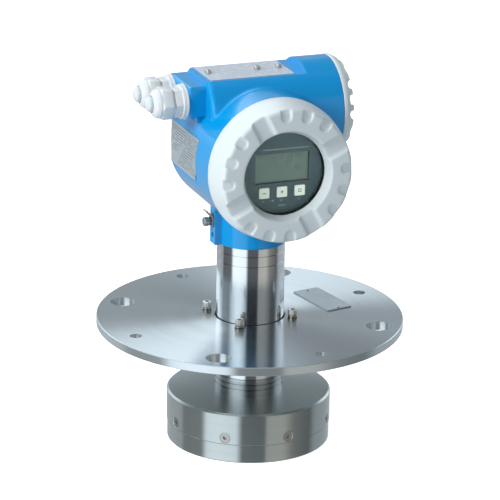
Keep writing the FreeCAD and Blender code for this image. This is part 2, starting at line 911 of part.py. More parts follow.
def make_antenna_screws():
    """Eight countersunk screws that hold the lower ring in the cup."""
    body = new_body("antenna_screws")
    outer = "antenna_diameter / 2 - 0.1"
    level = "antenna_screw_height"
    sketch = sketch_on(body, "XZ_Plane")
    draw_outline(sketch, [
        (f"{outer} - antenna_screw_length", level),
        (f"{outer} - antenna_screw_sink / 2", level),
        (f"{outer} - antenna_screw_sink / 2", f"{level} + antenna_screw_socket / 2"),
        (outer, f"{level} + antenna_screw_socket / 2"),
        (outer, f"{level} + antenna_screw_head / 2"),
        (f"{outer} - antenna_screw_sink", f"{level} + antenna_screw_shank / 2"),
        (f"{outer} - antenna_screw_length", f"{level} + antenna_screw_shank / 2"),
    ])
    screw = body.newObject("PartDesign::Revolution", "Revolution")
    screw.Profile = sketch
    screw.ReferenceAxis = (sketch, ["Edge1"])
    screw.Angle = 360
    around(body, screw, ANTENNA_SCREWS)
    clocked(body, "antenna_clocking")


def make_feed_line():
    """The coaxial line from the patch board up to the electronics."""
    body = new_body("feed_line")
    wire = "feed_diameter / 2"
    nut = "feed_nut / 2"
    low = "window_thickness + base_lip + board_thickness"
    module_bottom = "bay_axis - sqrt((bay_diameter / 2 - module_gap) ^ 2 - (bay_across - feed_nut / 2) ^ 2)"
    high = f"({module_bottom} - feed_gap)"
    revolve(body, [
        ("0", low),
        (nut, low),
        (nut, f"{low} + feed_nut_height"),
        (wire, f"{low} + feed_nut_height"),
        (wire, f"{high} - feed_nut_height"),
        (nut, f"{high} - feed_nut_height"),
        (nut, high),
        ("0", high),
    ])


# Housing casting


def make_housing():
    """One casting: display drum, terminal barrel, gland block, neck and earth boss."""
    drum = cylinder("drum_diameter / 2", "drum_shoulder + drum_back", ("0", "drum_back", "drum_axis"), TO_FRONT)
    doc.recompute()
    back = size("drum_back")
    drum = rounded(drum, size("drum_back_round"), lambda edge: all(abs(v.Y - back) < 0.01 for v in edge.Vertexes))
    reach = "flange_diameter"
    side = block(
        ("20", "drum_back + side_flat_front", reach),
        ("-side_flat - 20", "-side_flat_front", "drum_axis - flange_diameter / 2"),
    )
    drum = cut(drum, side)

    barrel = cylinder(
        "barrel_diameter / 2", "barrel_left + barrel_shoulder",
        ("-barrel_left", "barrel_offset", "barrel_axis"), TO_RIGHT,
    )
    left = -size("barrel_left")
    barrel = rounded(barrel, size("barrel_edge"), lambda edge: all(abs(v.X - left) < 0.01 for v in edge.Vertexes))
    flat = block(
        ("barrel_left + top_flat_right + 1", reach, "40"),
        ("-barrel_left - 1", "barrel_offset - flange_diameter / 2", "top_flat"),
    )
    barrel = cut(barrel, flat)
    trunk = fuse(drum, barrel)
    trunk.Refine = True
    crossing = size("barrel_diameter")
    trunk = rounded(
        trunk, size("junction_round"),
        lambda edge: isinstance(edge.Curve, Part.BSplineCurve) and edge.Length > crossing,
    )

    gland_block = block(
        ("block_face", "block_width", "block_top - block_bottom"),
        ("-block_face", "block_centre - block_width / 2", "block_bottom"),
    )
    doc.recompute()
    top = size("block_top")
    back = size("block_centre") + size("block_width") / 2
    gland_block = rounded(
        gland_block, size("block_back_round"),
        lambda edge: all(abs(v.Y - back) < 0.01 and abs(v.Z - top) < 0.01 for v in edge.Vertexes),
    )
    doc.recompute()
    face = -size("block_face")
    front = size("block_centre") - size("block_width") / 2
    gland_block = rounded(
        gland_block, size("block_round"),
        lambda edge: all(abs(v.X - face) < 0.01 for v in edge.Vertexes)
        or (edge.Curve.TypeId == "Part::GeomLine" and abs(edge.Vertexes[0].X - edge.Vertexes[-1].X) > 1
            and all(abs(v.Y - front) < 0.01 for v in edge.Vertexes)),
    )
    web = block(
        ("block_face - barrel_left", "web_thickness", "web_reach"),
        ("-block_face + 1.5 * web_reach", "block_centre - block_width / 2 + block_round", "block_bottom - web_reach + 1"),
    )

    neck = cylinder("neck_diameter / 2", "neck_flare_top - neck_bottom", ("0", "0", "neck_bottom"))
    flare = cone("neck_diameter / 2", "neck_flare_diameter / 2", "neck_flare_top - neck_flare", ("0", "0", "neck_flare"))
    boss = block(
        ("boss_face", "boss_width", "neck_flare_top - neck_bottom"),
        ("-boss_face", "-boss_width / 2", "neck_bottom"),
    )
    display_thread = cylinder(
        "thread_diameter / 2", "thread_length + 1", ("0", "-drum_shoulder + 1", "drum_axis"), TO_FRONT,
    )
    solid = fuse(trunk, gland_block, web, neck, flare, boss, display_thread)

    clear = "1"
    front = f"drum_shoulder + thread_length + {clear}"
    display_room = cylinder(
        "display_bore / 2", f"{front} - display_floor", ("0", "-display_floor", "drum_axis"), TO_FRONT,
    )
    bay = cylinder(
        "bay_diameter / 2", f"bay_back + display_floor + {clear}", ("-bay_across", "bay_back", "bay_axis"), TO_FRONT,
    )
    terminal_room = cylinder(
        "barrel_bore / 2", f"barrel_shoulder - barrel_floor + {clear}",
        ("barrel_floor", "barrel_offset", "barrel_axis"), TO_RIGHT,
    )
    terminal_thread = cylinder(
        "barrel_thread / 2 + slip_fit", f"barrel_thread_length + {clear}",
        ("barrel_shoulder - barrel_thread_length", "barrel_offset", "barrel_axis"), TO_RIGHT,
    )
    terminal_mouth = cylinder(
        "barrel_thread / 2 + mouth_recess_gap", f"mouth_recess + {clear}",
        ("barrel_shoulder - mouth_recess", "barrel_offset", "barrel_axis"), TO_RIGHT,
    )
    neck_hole = cylinder("neck_bore / 2", "bay_axis - neck_bottom", ("0", "0", "neck_bottom"))
    socket = cylinder(
        "spigot_diameter / 2 + slip_fit", f"socket_depth + {clear}", ("0", "0", f"neck_bottom - {clear}"),
    )
    tools = [display_room, bay, terminal_room, terminal_thread, terminal_mouth, neck_hole, socket]
    for direction in (-1, 1):
        tools.append(cylinder(
            "gland_thread / 2 + slip_fit", "block_face + barrel_floor + 1",
            ("barrel_floor + 1", f"block_centre + {direction} * gland_spacing / 2", "gland_height"), TO_LEFT,
        ))
    tools.append(cylinder(
        "lock_screw / 2 + slip_fit", "boss_face", ("-1", "0", "lock_height"), TO_LEFT,
    ))
    tools.append(cylinder(
        "earth_screw / 2 + slip_fit", "10", ("-boss_face + 9", "0", "earth_height"), TO_LEFT,
    ))
    for across in top_screw_places():
        tools.append(cylinder(
            "top_screw_shank / 2 + slip_fit", "top_screw_depth + 1",
            (across, "barrel_offset", "top_flat - top_screw_depth"),
        ))
    keep("housing_casting", cut(solid, *tools))


def top_screw_places():
    """Where the three top screws stand along the housing."""
    second = "-top_screw_first + top_screw_second"
    return ["-top_screw_first", second, f"{second} + top_screw_third"]


def make_plates():
    """The two blank rating plates and the three screws through the top one."""
    tools = [
        cylinder("top_screw_shank / 2 + slip_fit", "plate_thickness + 2", (across, "barrel_offset", "top_flat - 1"))
        for across in top_screw_places()
    ]
    plate = block(
        ("top_plate_length", "top_plate_width", "plate_thickness"),
        ("-top_plate_left", "barrel_offset - top_plate_width / 2", "top_flat"),
    )
    keep("top_plate", cut(plate, *tools))

    screws = []
    for across in top_screw_places():
        head = cut(
            cylinder("top_screw_head / 2", "top_screw_head_height", (across, "barrel_offset", "top_flat + plate_thickness")),
            hexagon("top_screw_head / 2.4", "2", (across, "barrel_offset", "top_flat + plate_thickness + top_screw_head_height - 1.6")),
        )
        shank = cylinder(
            "top_screw_shank / 2", "top_screw_depth + plate_thickness - 0.3",
            (across, "barrel_offset", "top_flat - top_screw_depth + 0.3"),
        )
        screws.append(fuse(head, shank))
    keep("top_plate_screws", group(*screws))

    body = new_body("side_plate")
    sketch = sketch_on(body, "YZ_Plane")
    low = "-side_plate_height / 2"
    high = "side_plate_height / 2"
    draw_outline(sketch, [
        ("side_plate_back", low),
        ("side_plate_back", high),
        ("-side_plate_front", high),
        ("-side_plate_front + side_plate_slant * 0.2", "side_plate_height * 0.1"),
        ("-side_plate_front + side_plate_slant", low),
    ])
    plate = pad(body, sketch, "plate_thickness")
    plate.Reversed = True
    place(body, ("-side_flat", "0", "drum_axis"))


def make_earth_terminal():
    """The earth clip, its washers and screw, and the lock screw under them."""
    body = new_body("earth_clip")
    sketch = sketch_on(body, "XZ_Plane")
    draw_outline(sketch, [
        ("0", "-clip_half_height"),
        ("-clip_thickness", "-clip_half_height"),
        ("-clip_thickness", "clip_half_height - 0.7"),
        ("-clip_thickness - clip_reach", "clip_half_height + clip_rise - 0.7"),
        ("-clip_thickness - clip_reach + 1.2", "clip_half_height + clip_rise + 0.6"),
        ("0", "clip_half_height"),
    ])
    strip = pad(body, sketch, "clip_width")
    strip.SideType = "Symmetric"
    sketch = sketch_on(body, "YZ_Plane")
    draw_circle(sketch, "earth_screw / 2 + screw_clearance")
    body.Tip = pocket(body, sketch)
    place(body, ("-boss_face", "0", "earth_height"))

    bore = "earth_screw / 2 + screw_clearance"
    washer = ring("earth_washer / 2", bore, "earth_washer_height", ("-boss_face - clip_thickness", "0", "earth_height"), TO_LEFT)
    keep("earth_washer", washer)
    start = "-boss_face - clip_thickness - earth_washer_height"
    spring = ring("earth_washer / 2 - 0.3", bore, "earth_spring_height", (start, "0", "earth_height"), TO_LEFT)
    keep("earth_spring_washer", spring)

    seat = f"{start} - earth_spring_height"
    head = cylinder("earth_head / 2", "earth_head_height", (seat, "0", "earth_height"), TO_LEFT)
    slot = block(
        ("earth_slot * 1.4", "earth_head + 2", "earth_slot"),
        (f"{seat} - earth_head_height - 0.1", "-earth_head / 2 - 1", "earth_height - earth_slot / 2"),
    )
    shank = cylinder("earth_screw / 2", f"-({seat}) - boss_face + 8", ("-boss_face + 8", "0", "earth_height"), TO_LEFT)
    keep("earth_screw", fuse(cut(head, slot), shank))

    tip = "spigot_diameter / 2 - spigot_groove_depth + 0.3"
    length = f"boss_face - lock_recess - ({tip})"
    lock = cut(
        cylinder("lock_screw / 2", length, (f"-({tip})", "0", "lock_height"), TO_LEFT),
        hexagon("lock_socket", "3", ("-boss_face + lock_recess + 2.4", "0", "lock_height"), TO_LEFT),
    )
    keep("lock_screw", lock)


# Covers


def turned(angle, radius, aside):
    """A point by its radius and its sideways distance, turned by an angle in degrees."""
    cosine = f"cos(({angle}) * 1deg)"
    sine = f"sin(({angle}) * 1deg)"
    across = f"({radius}) * {cosine} - ({aside}) * {sine}"
    up = f"({radius}) * {sine} + ({aside}) * {cosine}"
    return across, up


def draw_channel(sketch, width, inner, reach, angle):
    """A straight channel that runs outwards from near the middle."""
    half = f"({width}) / 2"
    corners = [(inner, f"-({half})"), (reach, f"-({half})"), (reach, half), (inner, half)]
    draw_outline(sketch, [turned(angle, radius, aside) for radius, aside in corners])


def draw_scallop(sketch, width, centre, reach, angle):
    """A slot with a round inner end, open outwards."""
    half = f"({width}) / 2"
    corners = [(reach, f"-({half})"), (reach, half)]
    for turn in range(90, 271, 30):
        cosine = math.cos(math.radians(turn))
        sine = math.sin(math.radians(turn))
        corners.append((f"{centre} + {half} * {cosine:.8f}", f"{half} * {sine:.8f}"))
    draw_outline(sketch, [turned(angle, radius, aside) for radius, aside in corners])


def cut_cover_grips(body, prefix, height, outer):
    """Wide radial channels, and thumb scallops between them, round a screwed cover."""
    reach = f"({outer} + 4)"
    clocking = f"{prefix}_clocking"
    channel = sketch_on(body, lift=height)
    inner = f"{prefix}_channel_inner"
    draw_channel(channel, f"{prefix}_channel_width", inner, reach, clocking)
    around(body, pocket(body, channel, f"{prefix}_channel_depth"), COVER_CHANNELS)
    for step in (-1, 0, 1):
        scallop = sketch_on(body, lift=height)
        angle = f"{clocking} + {180 / COVER_CHANNELS} + {step} * scallop_pitch"
        draw_scallop(scallop, f"{prefix}_scallop_width", f"{prefix}_scallop_centre", reach, angle)
        around(body, pocket(body, scallop, f"{prefix}_scallop_depth"), COVER_CHANNELS)


def display_at(depth):
    """A place on the display axis, a depth behind the cover's rear rim."""
    return ("0", f"-(drum_shoulder + turn_gap) - ({depth})", "drum_axis")


def make_display_cover():
    """The screwed cover with its funnel-shaped window, ribs and scallops."""
    body = new_body("display_cover")
    outer = "cover_diameter / 2"
    thread = "thread_diameter / 2 + slip_fit"
    seat = "cover_height - window_funnel"
    boss_end = "cover_height - window_funnel - glass_gasket - glass_thickness - glass_ring_thickness"
    glass_bore = "glass_diameter / 2 + glass_fit"
    feature = revolve(body, [
        (f"{thread} + cover_rebate_gap", "0"),
        (outer, "0"),
        (outer, "cover_band"),
        ("cover_face / 2", "cover_height"),
        ("window_mouth / 2", "cover_height"),
        ("window_clear / 2", seat),
        (glass_bore, seat),
        (glass_bore, boss_end),
        (f"{glass_bore} + glass_boss_wall", boss_end),
        (f"{glass_bore} + glass_boss_wall", "cover_cavity_depth"),
        (f"{thread} - cover_slope", "cover_cavity_depth"),
        (thread, "cover_thread_depth"),
        (thread, "cover_rebate"),
        (f"{thread} + cover_rebate_gap", "cover_rebate"),
    ])
    face = size("cover_face") / 2
    top = size("cover_height")
    soften(body, feature, "Fillet", "cover_round", lambda edge: is_circle(edge, face, top))
    cut_cover_grips(body, "cover", "cover_height", "cover_diameter / 2")
    place(body, display_at("0"), TO_FRONT)

    gasket = ring(
        "glass_diameter / 2", "window_clear / 2 + 0.3", "glass_gasket",
        display_at(f"{seat} - glass_gasket"), TO_FRONT,
    )
    keep("glass_gasket", gasket)
    glass = cylinder(
        "glass_diameter / 2", "glass_thickness", display_at(f"{seat} - glass_gasket - glass_thickness"), TO_FRONT,
    )
    keep("display_glass", glass)
    holder = ring("glass_diameter / 2", "glass_diameter / 2 - glass_ring_wall", "glass_ring_thickness")
    notch = block(
        ("glass_diameter + 2", "notch_width", "glass_ring_thickness"),
        ("-glass_diameter / 2 - 1", "-notch_width / 2", "-glass_ring_thickness / 2"),
    )
    holder = cut(holder, notch)
    place(holder, display_at(boss_end), TO_FRONT)
    keep("glass_ring", holder)

    cord = "(o_ring_cord / 2 + seal_gap)"
    seal = o_ring(
        f"thread_diameter / 2 + {cord} + seal_gap", "o_ring_cord", display_at("cover_rebate / 2"), TO_FRONT,
    )
    keep("display_cover_seal", seal)


def make_terminal_cover():
    """The shallow blind cover whose threaded skirt screws into the terminal room."""
    body = new_body("terminal_cover")
    skirt = "barrel_thread / 2"
    feature = revolve(body, [
        (f"{skirt} - end_cover_skirt_wall", "-end_cover_skirt"),
        (skirt, "-end_cover_skirt"),
        (skirt, "0"),
        ("end_cover_diameter / 2", "0"),
        ("end_cover_diameter / 2", "end_cover_band"),
        ("end_cover_face / 2", "end_cover_height"),
        ("0", "end_cover_height"),
        ("0", "end_cover_cavity"),
        (f"{skirt} - end_cover_skirt_wall", "end_cover_cavity"),
    ])
    face = size("end_cover_face") / 2
    top = size("end_cover_height")
    soften(body, feature, "Fillet", "end_cover_round", lambda edge: is_circle(edge, face, top))
    cut_cover_grips(body, "end_cover", "end_cover_height", "end_cover_diameter / 2")
    place(body, ("barrel_shoulder + turn_gap", "barrel_offset", "barrel_axis"), TO_RIGHT)

    seal = o_ring(
        "barrel_thread / 2 + end_o_ring_cord / 2 + seal_gap", "end_o_ring_cord",
        ("barrel_shoulder + turn_gap - end_o_ring_cord / 2 - 2 * seal_gap", "barrel_offset", "barrel_axis"), TO_RIGHT,
    )
    keep("terminal_cover_seal", seal)


# Display module, electronics and terminals


def bezel_front():
    """How far the bezel's face lies in front of the cover's rear rim."""
    ring_end = "cover_height - window_funnel - glass_gasket - glass_thickness - glass_ring_thickness"
    return f"({ring_end} - bezel_gap)"


def make_display():
    """Bezel with the screen opening and key holes, screen, board, holder and rubber domes."""
    front = bezel_front()
    body = new_body("display_bezel")
    sketch = sketch_on(body)
    draw_circle(sketch, "bezel_diameter / 2")
    draw_rectangle(sketch, "screen_width", "screen_height", "0", "screen_lift")
    for place_across in (-1, 0, 1):
        hole = "key_size + 2 * key_gap"
        draw_rectangle(sketch, hole, hole, f"{place_across} * key_pitch", "-key_drop")
    pad(body, sketch, "bezel_thickness")
    place(body, display_at(f"{front} - bezel_thickness"), TO_FRONT)

    back = f"({front} - bezel_thickness)"
    board_front = f"({back} - screen_thickness)"
    screen = block(
        ("screen_width + 2 * screen_border", "screen_thickness", "screen_height + 2 * screen_border"),
        (
            "-screen_width / 2 - screen_border",
            f"{display_at(board_front)[1]} - screen_thickness",
            "drum_axis + screen_lift - screen_height / 2 - screen_border",
        ),
    )
    keep("screen_panel", screen)

    board = cylinder(
        "bezel_diameter / 2 - holder_wall - slip_fit", "display_board_thickness",
        display_at(f"{board_front} - display_board_thickness"), TO_FRONT,
    )
    keep("display_board", board)

    body = new_body("display_holder")
    depth = "(drum_shoulder + turn_gap - display_floor)"
    ledge = f"({board_front} - display_board_thickness)"
    outer = "bezel_diameter / 2"
    inner = "bezel_diameter / 2 - holder_wall"
    revolve(body, [
        (f"{inner} - holder_ledge", f"-{depth}"),
        (outer, f"-{depth}"),
        (outer, back),
        (inner, back),
        (inner, ledge),
        (f"{inner} - holder_ledge", ledge),
    ])
    place(body, display_at("0"), TO_FRONT)

    names = ("key_left", "key_middle", "key_right")
    for step, name in zip((-1, 0, 1), names):
        body = new_body(name)
        sketch = sketch_on(body)
        draw_rectangle(sketch, "key_size", "key_size", f"{step} * key_pitch", "-key_drop")
        cap = pad(body, sketch, "key_thickness")
        soften(
            body, cap, "Fillet", "key_corner",
            lambda edge: abs(edge.Vertexes[0].Z - edge.Vertexes[-1].Z) > size("key_thickness") / 2,
        )
        place(body, display_at(f"{front} + key_proud - key_thickness"), TO_FRONT)

    dome_top = f"({front} + key_proud - key_thickness - key_travel - dome_gap)"
    domes = []
    for step in (-1, 0, 1):
        at = display_at(board_front)
        domes.append(cone(
            "dome_diameter / 2", "dome_diameter / 3", f"{dome_top} - {board_front}",
            (f"{step} * key_pitch", at[1], "drum_axis - key_drop"), TO_FRONT,
        ))
    keep("key_domes", group(*domes))


def make_electronics():
    """The potted electronics module in its bay, and the terminal block with its screws."""
    body = new_body("electronics_module")
    radius = "(bay_diameter / 2 - module_gap)"
    length = "(bay_back + module_front)"
    revolve(body, [
        ("0", "0"),
        (radius, "0"),
        (radius, f"{length} - 8"),
        (f"{radius} - 2", f"{length} - 8"),
        (f"{radius} - 2", f"{length} - 6"),
        (radius, f"{length} - 6"),
        (radius, length),
        ("0", length),
    ])
    place(body, ("-bay_across", "bay_back", "bay_axis"), TO_FRONT)

    base = block(
        ("terminal_depth - terminal_step", "terminal_width", "terminal_height"),
        ("barrel_floor", "barrel_offset - terminal_width / 2", "barrel_axis - terminal_height / 2"),
    )
    step = block(
        ("terminal_depth", "terminal_width", "terminal_height / 2"),
        ("barrel_floor", "barrel_offset - terminal_width / 2", "barrel_axis - terminal_height / 2"),
    )
    holes = []
    screws = []
    face = "barrel_floor + terminal_depth"
    for index in range(TERMINAL_SCREWS):
        across = f"barrel_offset + terminal_screw_pitch * {index - (TERMINAL_SCREWS - 1) / 2}"
        level = "barrel_axis - terminal_height / 4"
        holes.append(cylinder(
            "terminal_screw / 2 + slip_fit", "5", (f"{face} - 4", across, level), TO_RIGHT,
        ))
        head = cylinder(
            "terminal_screw / 2", "4 - terminal_screw_height", (f"{face} - 4", across, level), TO_RIGHT,
        )
        slot = block(
            ("1", "terminal_screw + 2", "1"),
            (f"{face} - terminal_screw_height - 0.8", f"{across} - terminal_screw / 2 - 1", f"{level} - 0.5"),
        )
        screws.append(cut(head, slot))
    keep("terminal_block", cut(fuse(base, step), *holes))
    keep("terminal_screws", group(*screws))


# Cable glands


def make_gland(name, direction):
    """A polyamide gland with its gasket, clamping nut, rubber insert and blanking plug."""
    centre = f"block_centre + {direction} * gland_spacing / 2"

    def at(depth):
        return (f"-block_face - ({depth})", centre, "gland_height")

    gasket = ring("gland_gasket / 2", "gland_thread / 2 + slip_fit", "gland_gasket_thickness", at("0"), TO_LEFT)
    keep(f"{name}_gland_gasket", gasket)

    bore = "gland_bore / 2"
    length = "gland_thread_length + gland_barrel_end"
    spindle = fuse(
        cylinder("gland_thread / 2", "gland_thread_length + gland_gasket_thickness + 1", at("-gland_thread_length"), TO_LEFT),
        hexagon("gland_hex", "gland_hex_end - gland_gasket_thickness", at("gland_gasket_thickness"), TO_LEFT),
        cylinder("gland_collar / 2", "gland_collar_end - gland_gasket_thickness", at("gland_gasket_thickness"), TO_LEFT),
        cylinder("gland_barrel / 2", "gland_barrel_end - gland_hex_end + 1", at("gland_hex_end - 1"), TO_LEFT),
    )
    hole = cylinder(bore, f"{length} + 2", at("-gland_thread_length - 1"), TO_LEFT)
    keep(f"{name}_gland_body", cut(spindle, hole))

    thread = "gland_barrel / 2 + slip_fit"
    mouth = "nut_mouth / 2"
    body = new_body(f"{name}_gland_nut")
    sketch = sketch_on(body)
    draw_hexagon(sketch, "nut_hex")
    draw_circle(sketch, thread)
    pad(body, sketch, "nut_thread_length")
    skirt = "nut_thread_length"
    shoulder = "nut_shoulder - nut_start"
    end = "nut_end - nut_start"
    revolve(body, [
        (thread, skirt),
        ("nut_hex / 2", skirt),
        ("nut_hex / 2", f"{shoulder} - 1.5"),
        ("nut_hex / 2 - 0.5", shoulder),
        ("nut_hex / 2 - 2.2", f"{shoulder} + 2.4"),
        (f"{mouth} + 1", end),
        (mouth, end),
        (mouth, f"{end} - nut_lip"),
    ])
    place(body, at("nut_start"), TO_LEFT)

    body = new_body(f"{name}_gland_insert")
    start = "gland_barrel_end + insert_gap"
    revolve(body, [
        ("plug_diameter / 2 + slip_fit", "0"),
        ("insert_diameter / 2", "0"),
        ("insert_diameter / 2", "1.2"),
        ("insert_tip / 2", "insert_length"),
        ("plug_diameter / 2 + slip_fit", "insert_length"),
    ])
    place(body, at(start), TO_LEFT)

    body = new_body(f"{name}_gland_plug")
    radius = "plug_diameter / 2"
    tail = "gland_barrel_end - plug_tail"
    reach = f"(plug_end - ({tail}))"
    revolve(body, [
        ("0", "0"),
        (radius, "0"),
        (radius, reach),
        (f"{radius} * 0.924", f"{reach} + plug_dome * 0.383"),
        (f"{radius} * 0.707", f"{reach} + plug_dome * 0.707"),
        (f"{radius} * 0.383", f"{reach} + plug_dome * 0.924"),
        ("0", f"{reach} + plug_dome"),
    ])
    place(body, at(tail), TO_LEFT)


def check_and_write():
    """Stop on any failed object or bad shape, then write each sub-part."""
    doc.recompute()
    for item in doc.Objects:
        if "Invalid" in item.State or "Error" in item.State:
            raise RuntimeError(f"{item.Name} ({item.Label}) failed: {item.State}")
    for node, item in nodes.items():
        shape = item.Shape
        if shape.isNull() or not shape.isValid() or not shape.Solids:
            raise RuntimeError(f"{node} has no valid solid")
    os.makedirs("parts", exist_ok=True)
    for node, item in nodes.items():
        item.Shape.exportStep(f"parts/{node}.step")
        print(f"{node}: {len(item.Shape.Solids)} solid(s), {item.Shape.Volume:.0f} mm3")


make_flange_plate()
make_tag()
make_tag_rivets()
make_clamp()
make_neck_tube()
make_antenna_housing()
make_antenna_base()
make_antenna_screws()
make_feed_line()
make_housing()
make_plates()
make_earth_terminal()
make_display_cover()
make_terminal_cover()
make_display()
make_electronics()
make_gland("front", -1)
make_gland("rear", 1)
check_and_write()
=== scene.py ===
import logging
import math
from abc import ABC, abstractmethod
from contextlib import contextmanager
from dataclasses import dataclass, field
from enum import Enum
from typing import Callable, Iterator, Sequence

import bpy
from mathutils import Matrix, Vector


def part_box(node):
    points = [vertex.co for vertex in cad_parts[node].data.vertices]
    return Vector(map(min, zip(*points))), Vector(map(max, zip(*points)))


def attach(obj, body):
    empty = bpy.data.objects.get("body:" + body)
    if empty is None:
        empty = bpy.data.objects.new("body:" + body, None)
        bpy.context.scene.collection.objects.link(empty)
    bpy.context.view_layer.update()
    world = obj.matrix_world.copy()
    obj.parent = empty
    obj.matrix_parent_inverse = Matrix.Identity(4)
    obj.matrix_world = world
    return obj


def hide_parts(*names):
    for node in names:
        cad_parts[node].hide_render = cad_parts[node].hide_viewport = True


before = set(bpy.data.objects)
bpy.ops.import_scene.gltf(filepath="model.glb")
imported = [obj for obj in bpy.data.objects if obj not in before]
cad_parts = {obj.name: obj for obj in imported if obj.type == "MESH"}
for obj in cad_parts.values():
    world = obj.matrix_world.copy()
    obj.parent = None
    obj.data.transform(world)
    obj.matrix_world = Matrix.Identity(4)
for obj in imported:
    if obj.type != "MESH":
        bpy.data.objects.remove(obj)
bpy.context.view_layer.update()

# Looks of a radar level transmitter: a cast two-room housing on a steel neck,
# a bolted flange plate and a drum-shaped antenna. Pieces are modelled in
# millimetres about their own axis, then seated and scaled into the frame.

LOG = logging.getLogger("radar_level_transmitter")
MM = 0.001
NUDGE = 0.01
WELD = 0.002

Colour = tuple[float, float, float, float]
Point = tuple[float, float, float]
Outline = Sequence[tuple[float, ...]]
Piece = bpy.types.Object
Material = bpy.types.Material
Tree = bpy.types.NodeTree
Node = bpy.types.Node
Socket = bpy.types.NodeSocket
Sockets = bpy.types.bpy_prop_collection

ORIGIN: Point = (0.0, 0.0, 0.0)
WHITE: Colour = (1.0, 1.0, 1.0, 1.0)
NODE_STEP = 40
COLOUR_MIX_INPUTS, COLOUR_MIX_OUTPUT = (0, 6, 7), 2
SOCKET_KINDS = {"Place": "NodeSocketVector", "Colour": "NodeSocketColor"}


def shade(red: int, green: int, blue: int) -> Colour:
    """Turn a colour as seen on a screen into the linear values shaders use.

    Args:
        red: Red from 0 to 255.
        green: Green from 0 to 255.
        blue: Blue from 0 to 255.

    Returns:
        The linear colour with full alpha.
    """
    parts = (value / 255 for value in (red, green, blue))
    return (*(part / 12.92 if part <= 0.04045 else ((part + 0.055) / 1.055) ** 2.4 for part in parts), 1.0)


# Bench tools: selecting, spinning, cutting and seating pieces


class Seat(Enum):
    """Which way a piece's own axis points once it is seated."""

    UP = (0.0, "X")
    FRONT = (90.0, "X")
    RIGHT = (90.0, "Y")
    LEFT = (-90.0, "Y")

    def turn(self) -> Matrix:
        """Return the turn from the piece's own axis to this direction."""
        angle, axis = self.value
        return Matrix.Rotation(math.radians(angle), 4, axis)


def clear_bench() -> None:
    """Deselect everything, so that the next operator acts on its own piece alone."""
    if bpy.context.view_layer.objects.active and bpy.context.mode != "OBJECT":
        bpy.ops.object.mode_set(mode="OBJECT")
    bpy.ops.object.select_all(action="DESELECT")


def take(piece: Piece) -> None:
    """Select one piece alone and make it active.

    Args:
        piece: The piece to work on.
    """
    clear_bench()
    piece.select_set(True)
    bpy.context.view_layer.objects.active = piece


def pick(piece: Piece, rule: Callable[[Vector], bool], kind: str) -> None:
    """Select the vertices, edges or faces whose middle meets a rule.

    Args:
        piece: The piece, in object mode.
        rule: Takes the middle of an element and says whether it is chosen.
        kind: VERT, EDGE or FACE.
    """
    mesh = piece.data
    spots = mesh.vertices
    middles: dict[str, Callable[[object], Vector]] = {
        "VERT": lambda vertex: vertex.co,
        "EDGE": lambda edge: (spots[edge.vertices[0]].co + spots[edge.vertices[1]].co) / 2,
        "FACE": lambda face: face.center,
    }
    groups = {"VERT": mesh.vertices, "EDGE": mesh.edges, "FACE": mesh.polygons}
    for items in groups.values():
        items.foreach_set("select", [False] * len(items))
    chosen = [item for item in groups[kind] if rule(middles[kind](item))]
    for item in chosen:
        item.select = True


@contextmanager
def editing(piece: Piece, rule: Callable[[Vector], bool] | None = None, kind: str = "VERT") -> Iterator[None]:
    """Open a piece in edit mode and close it again.

    Args:
        piece: The piece to open.
        rule: Which elements are selected, by their middles; without it, all are.
        kind: What is selected: VERT, EDGE or FACE.

    Yields:
        Nothing, while the piece is open.
    """
    if rule:
        pick(piece, rule, kind)
    take(piece)
    bpy.ops.object.mode_set(mode="EDIT")
    bpy.ops.mesh.select_mode(type=kind)
    if not rule:
        bpy.ops.mesh.select_all(action="SELECT")
    try:
        yield
    finally:
        bpy.ops.object.mode_set(mode="OBJECT")


def newest(name: str) -> Piece:
    """Name the primitive that was just added.

    Args:
        name: Its name.

    Returns:
        The piece.
    """
    piece = bpy.context.active_object
    piece.name = name
    piece.data.name = name
    return piece


def settle(piece: Piece, matrix: Matrix = Matrix.Identity(4)) -> Piece:
    """Move a piece by a matrix and put its place into its mesh.

    Args:
        piece: The piece to move.
        matrix: The move, turn or scale.

    Returns:
        The same piece, its object back at the origin.
    """
    take(piece)
    piece.matrix_world = matrix @ piece.matrix_world
    bpy.ops.object.transform_apply(location=True, rotation=True, scale=True)
    return piece


def placed(at: Point = ORIGIN, way: Seat = Seat.UP, clock: float = 0.0) -> Matrix:
    """Work out the move from a piece's own axis to its place.

    Args:
        at: Where its origin goes.
        way: Where its axis points.
        clock: Turn about its own axis first, in degrees.

    Returns:
        The move.
    """
    return Matrix.Translation(Vector(at)) @ way.turn() @ Matrix.Rotation(math.radians(clock), 4, "Z")


def seat(piece: Piece, at: Point = ORIGIN, way: Seat = Seat.UP, clock: float = 0.0) -> Piece:
    """Clock a piece about its own axis, turn the axis and move it into place.

    Args:
        piece: The piece, modelled about its own Z axis in millimetres.
        at: Where its origin goes.
        way: Where its axis points.
        clock: Turn about its own axis first, in degrees.

    Returns:
        The seated piece.
    """
    return settle(piece, placed(at, way, clock))


def disc(name: str, radius: float, height: float, low: float = 0.0, sides: int = 64) -> Piece:
    """Add a closed cylinder as stock to be shaped.

    Args:
        name: Name of the piece.
        radius: Its radius.
        height: Its height.
        low: The level it stands on.
        sides: Its number of sides.

    Returns:
        The cylinder.
    """
    clear_bench()
    middle = (0, 0, low + height / 2)
    bpy.ops.mesh.primitive_cylinder_add(vertices=sides, radius=radius, depth=height, location=middle)
    return settle(newest(name))


def bar(name: str, size: Point, centre: Point) -> Piece:
    """Add a block as stock to be shaped.

    Args:
        name: Name of the piece.
        size: Its size along X, Y and Z.
        centre: Its middle.

    Returns:
        The block.
    """
    clear_bench()
    bpy.ops.mesh.primitive_cube_add(size=1, location=centre)
    piece = newest(name)
    piece.scale = size
    return settle(piece)


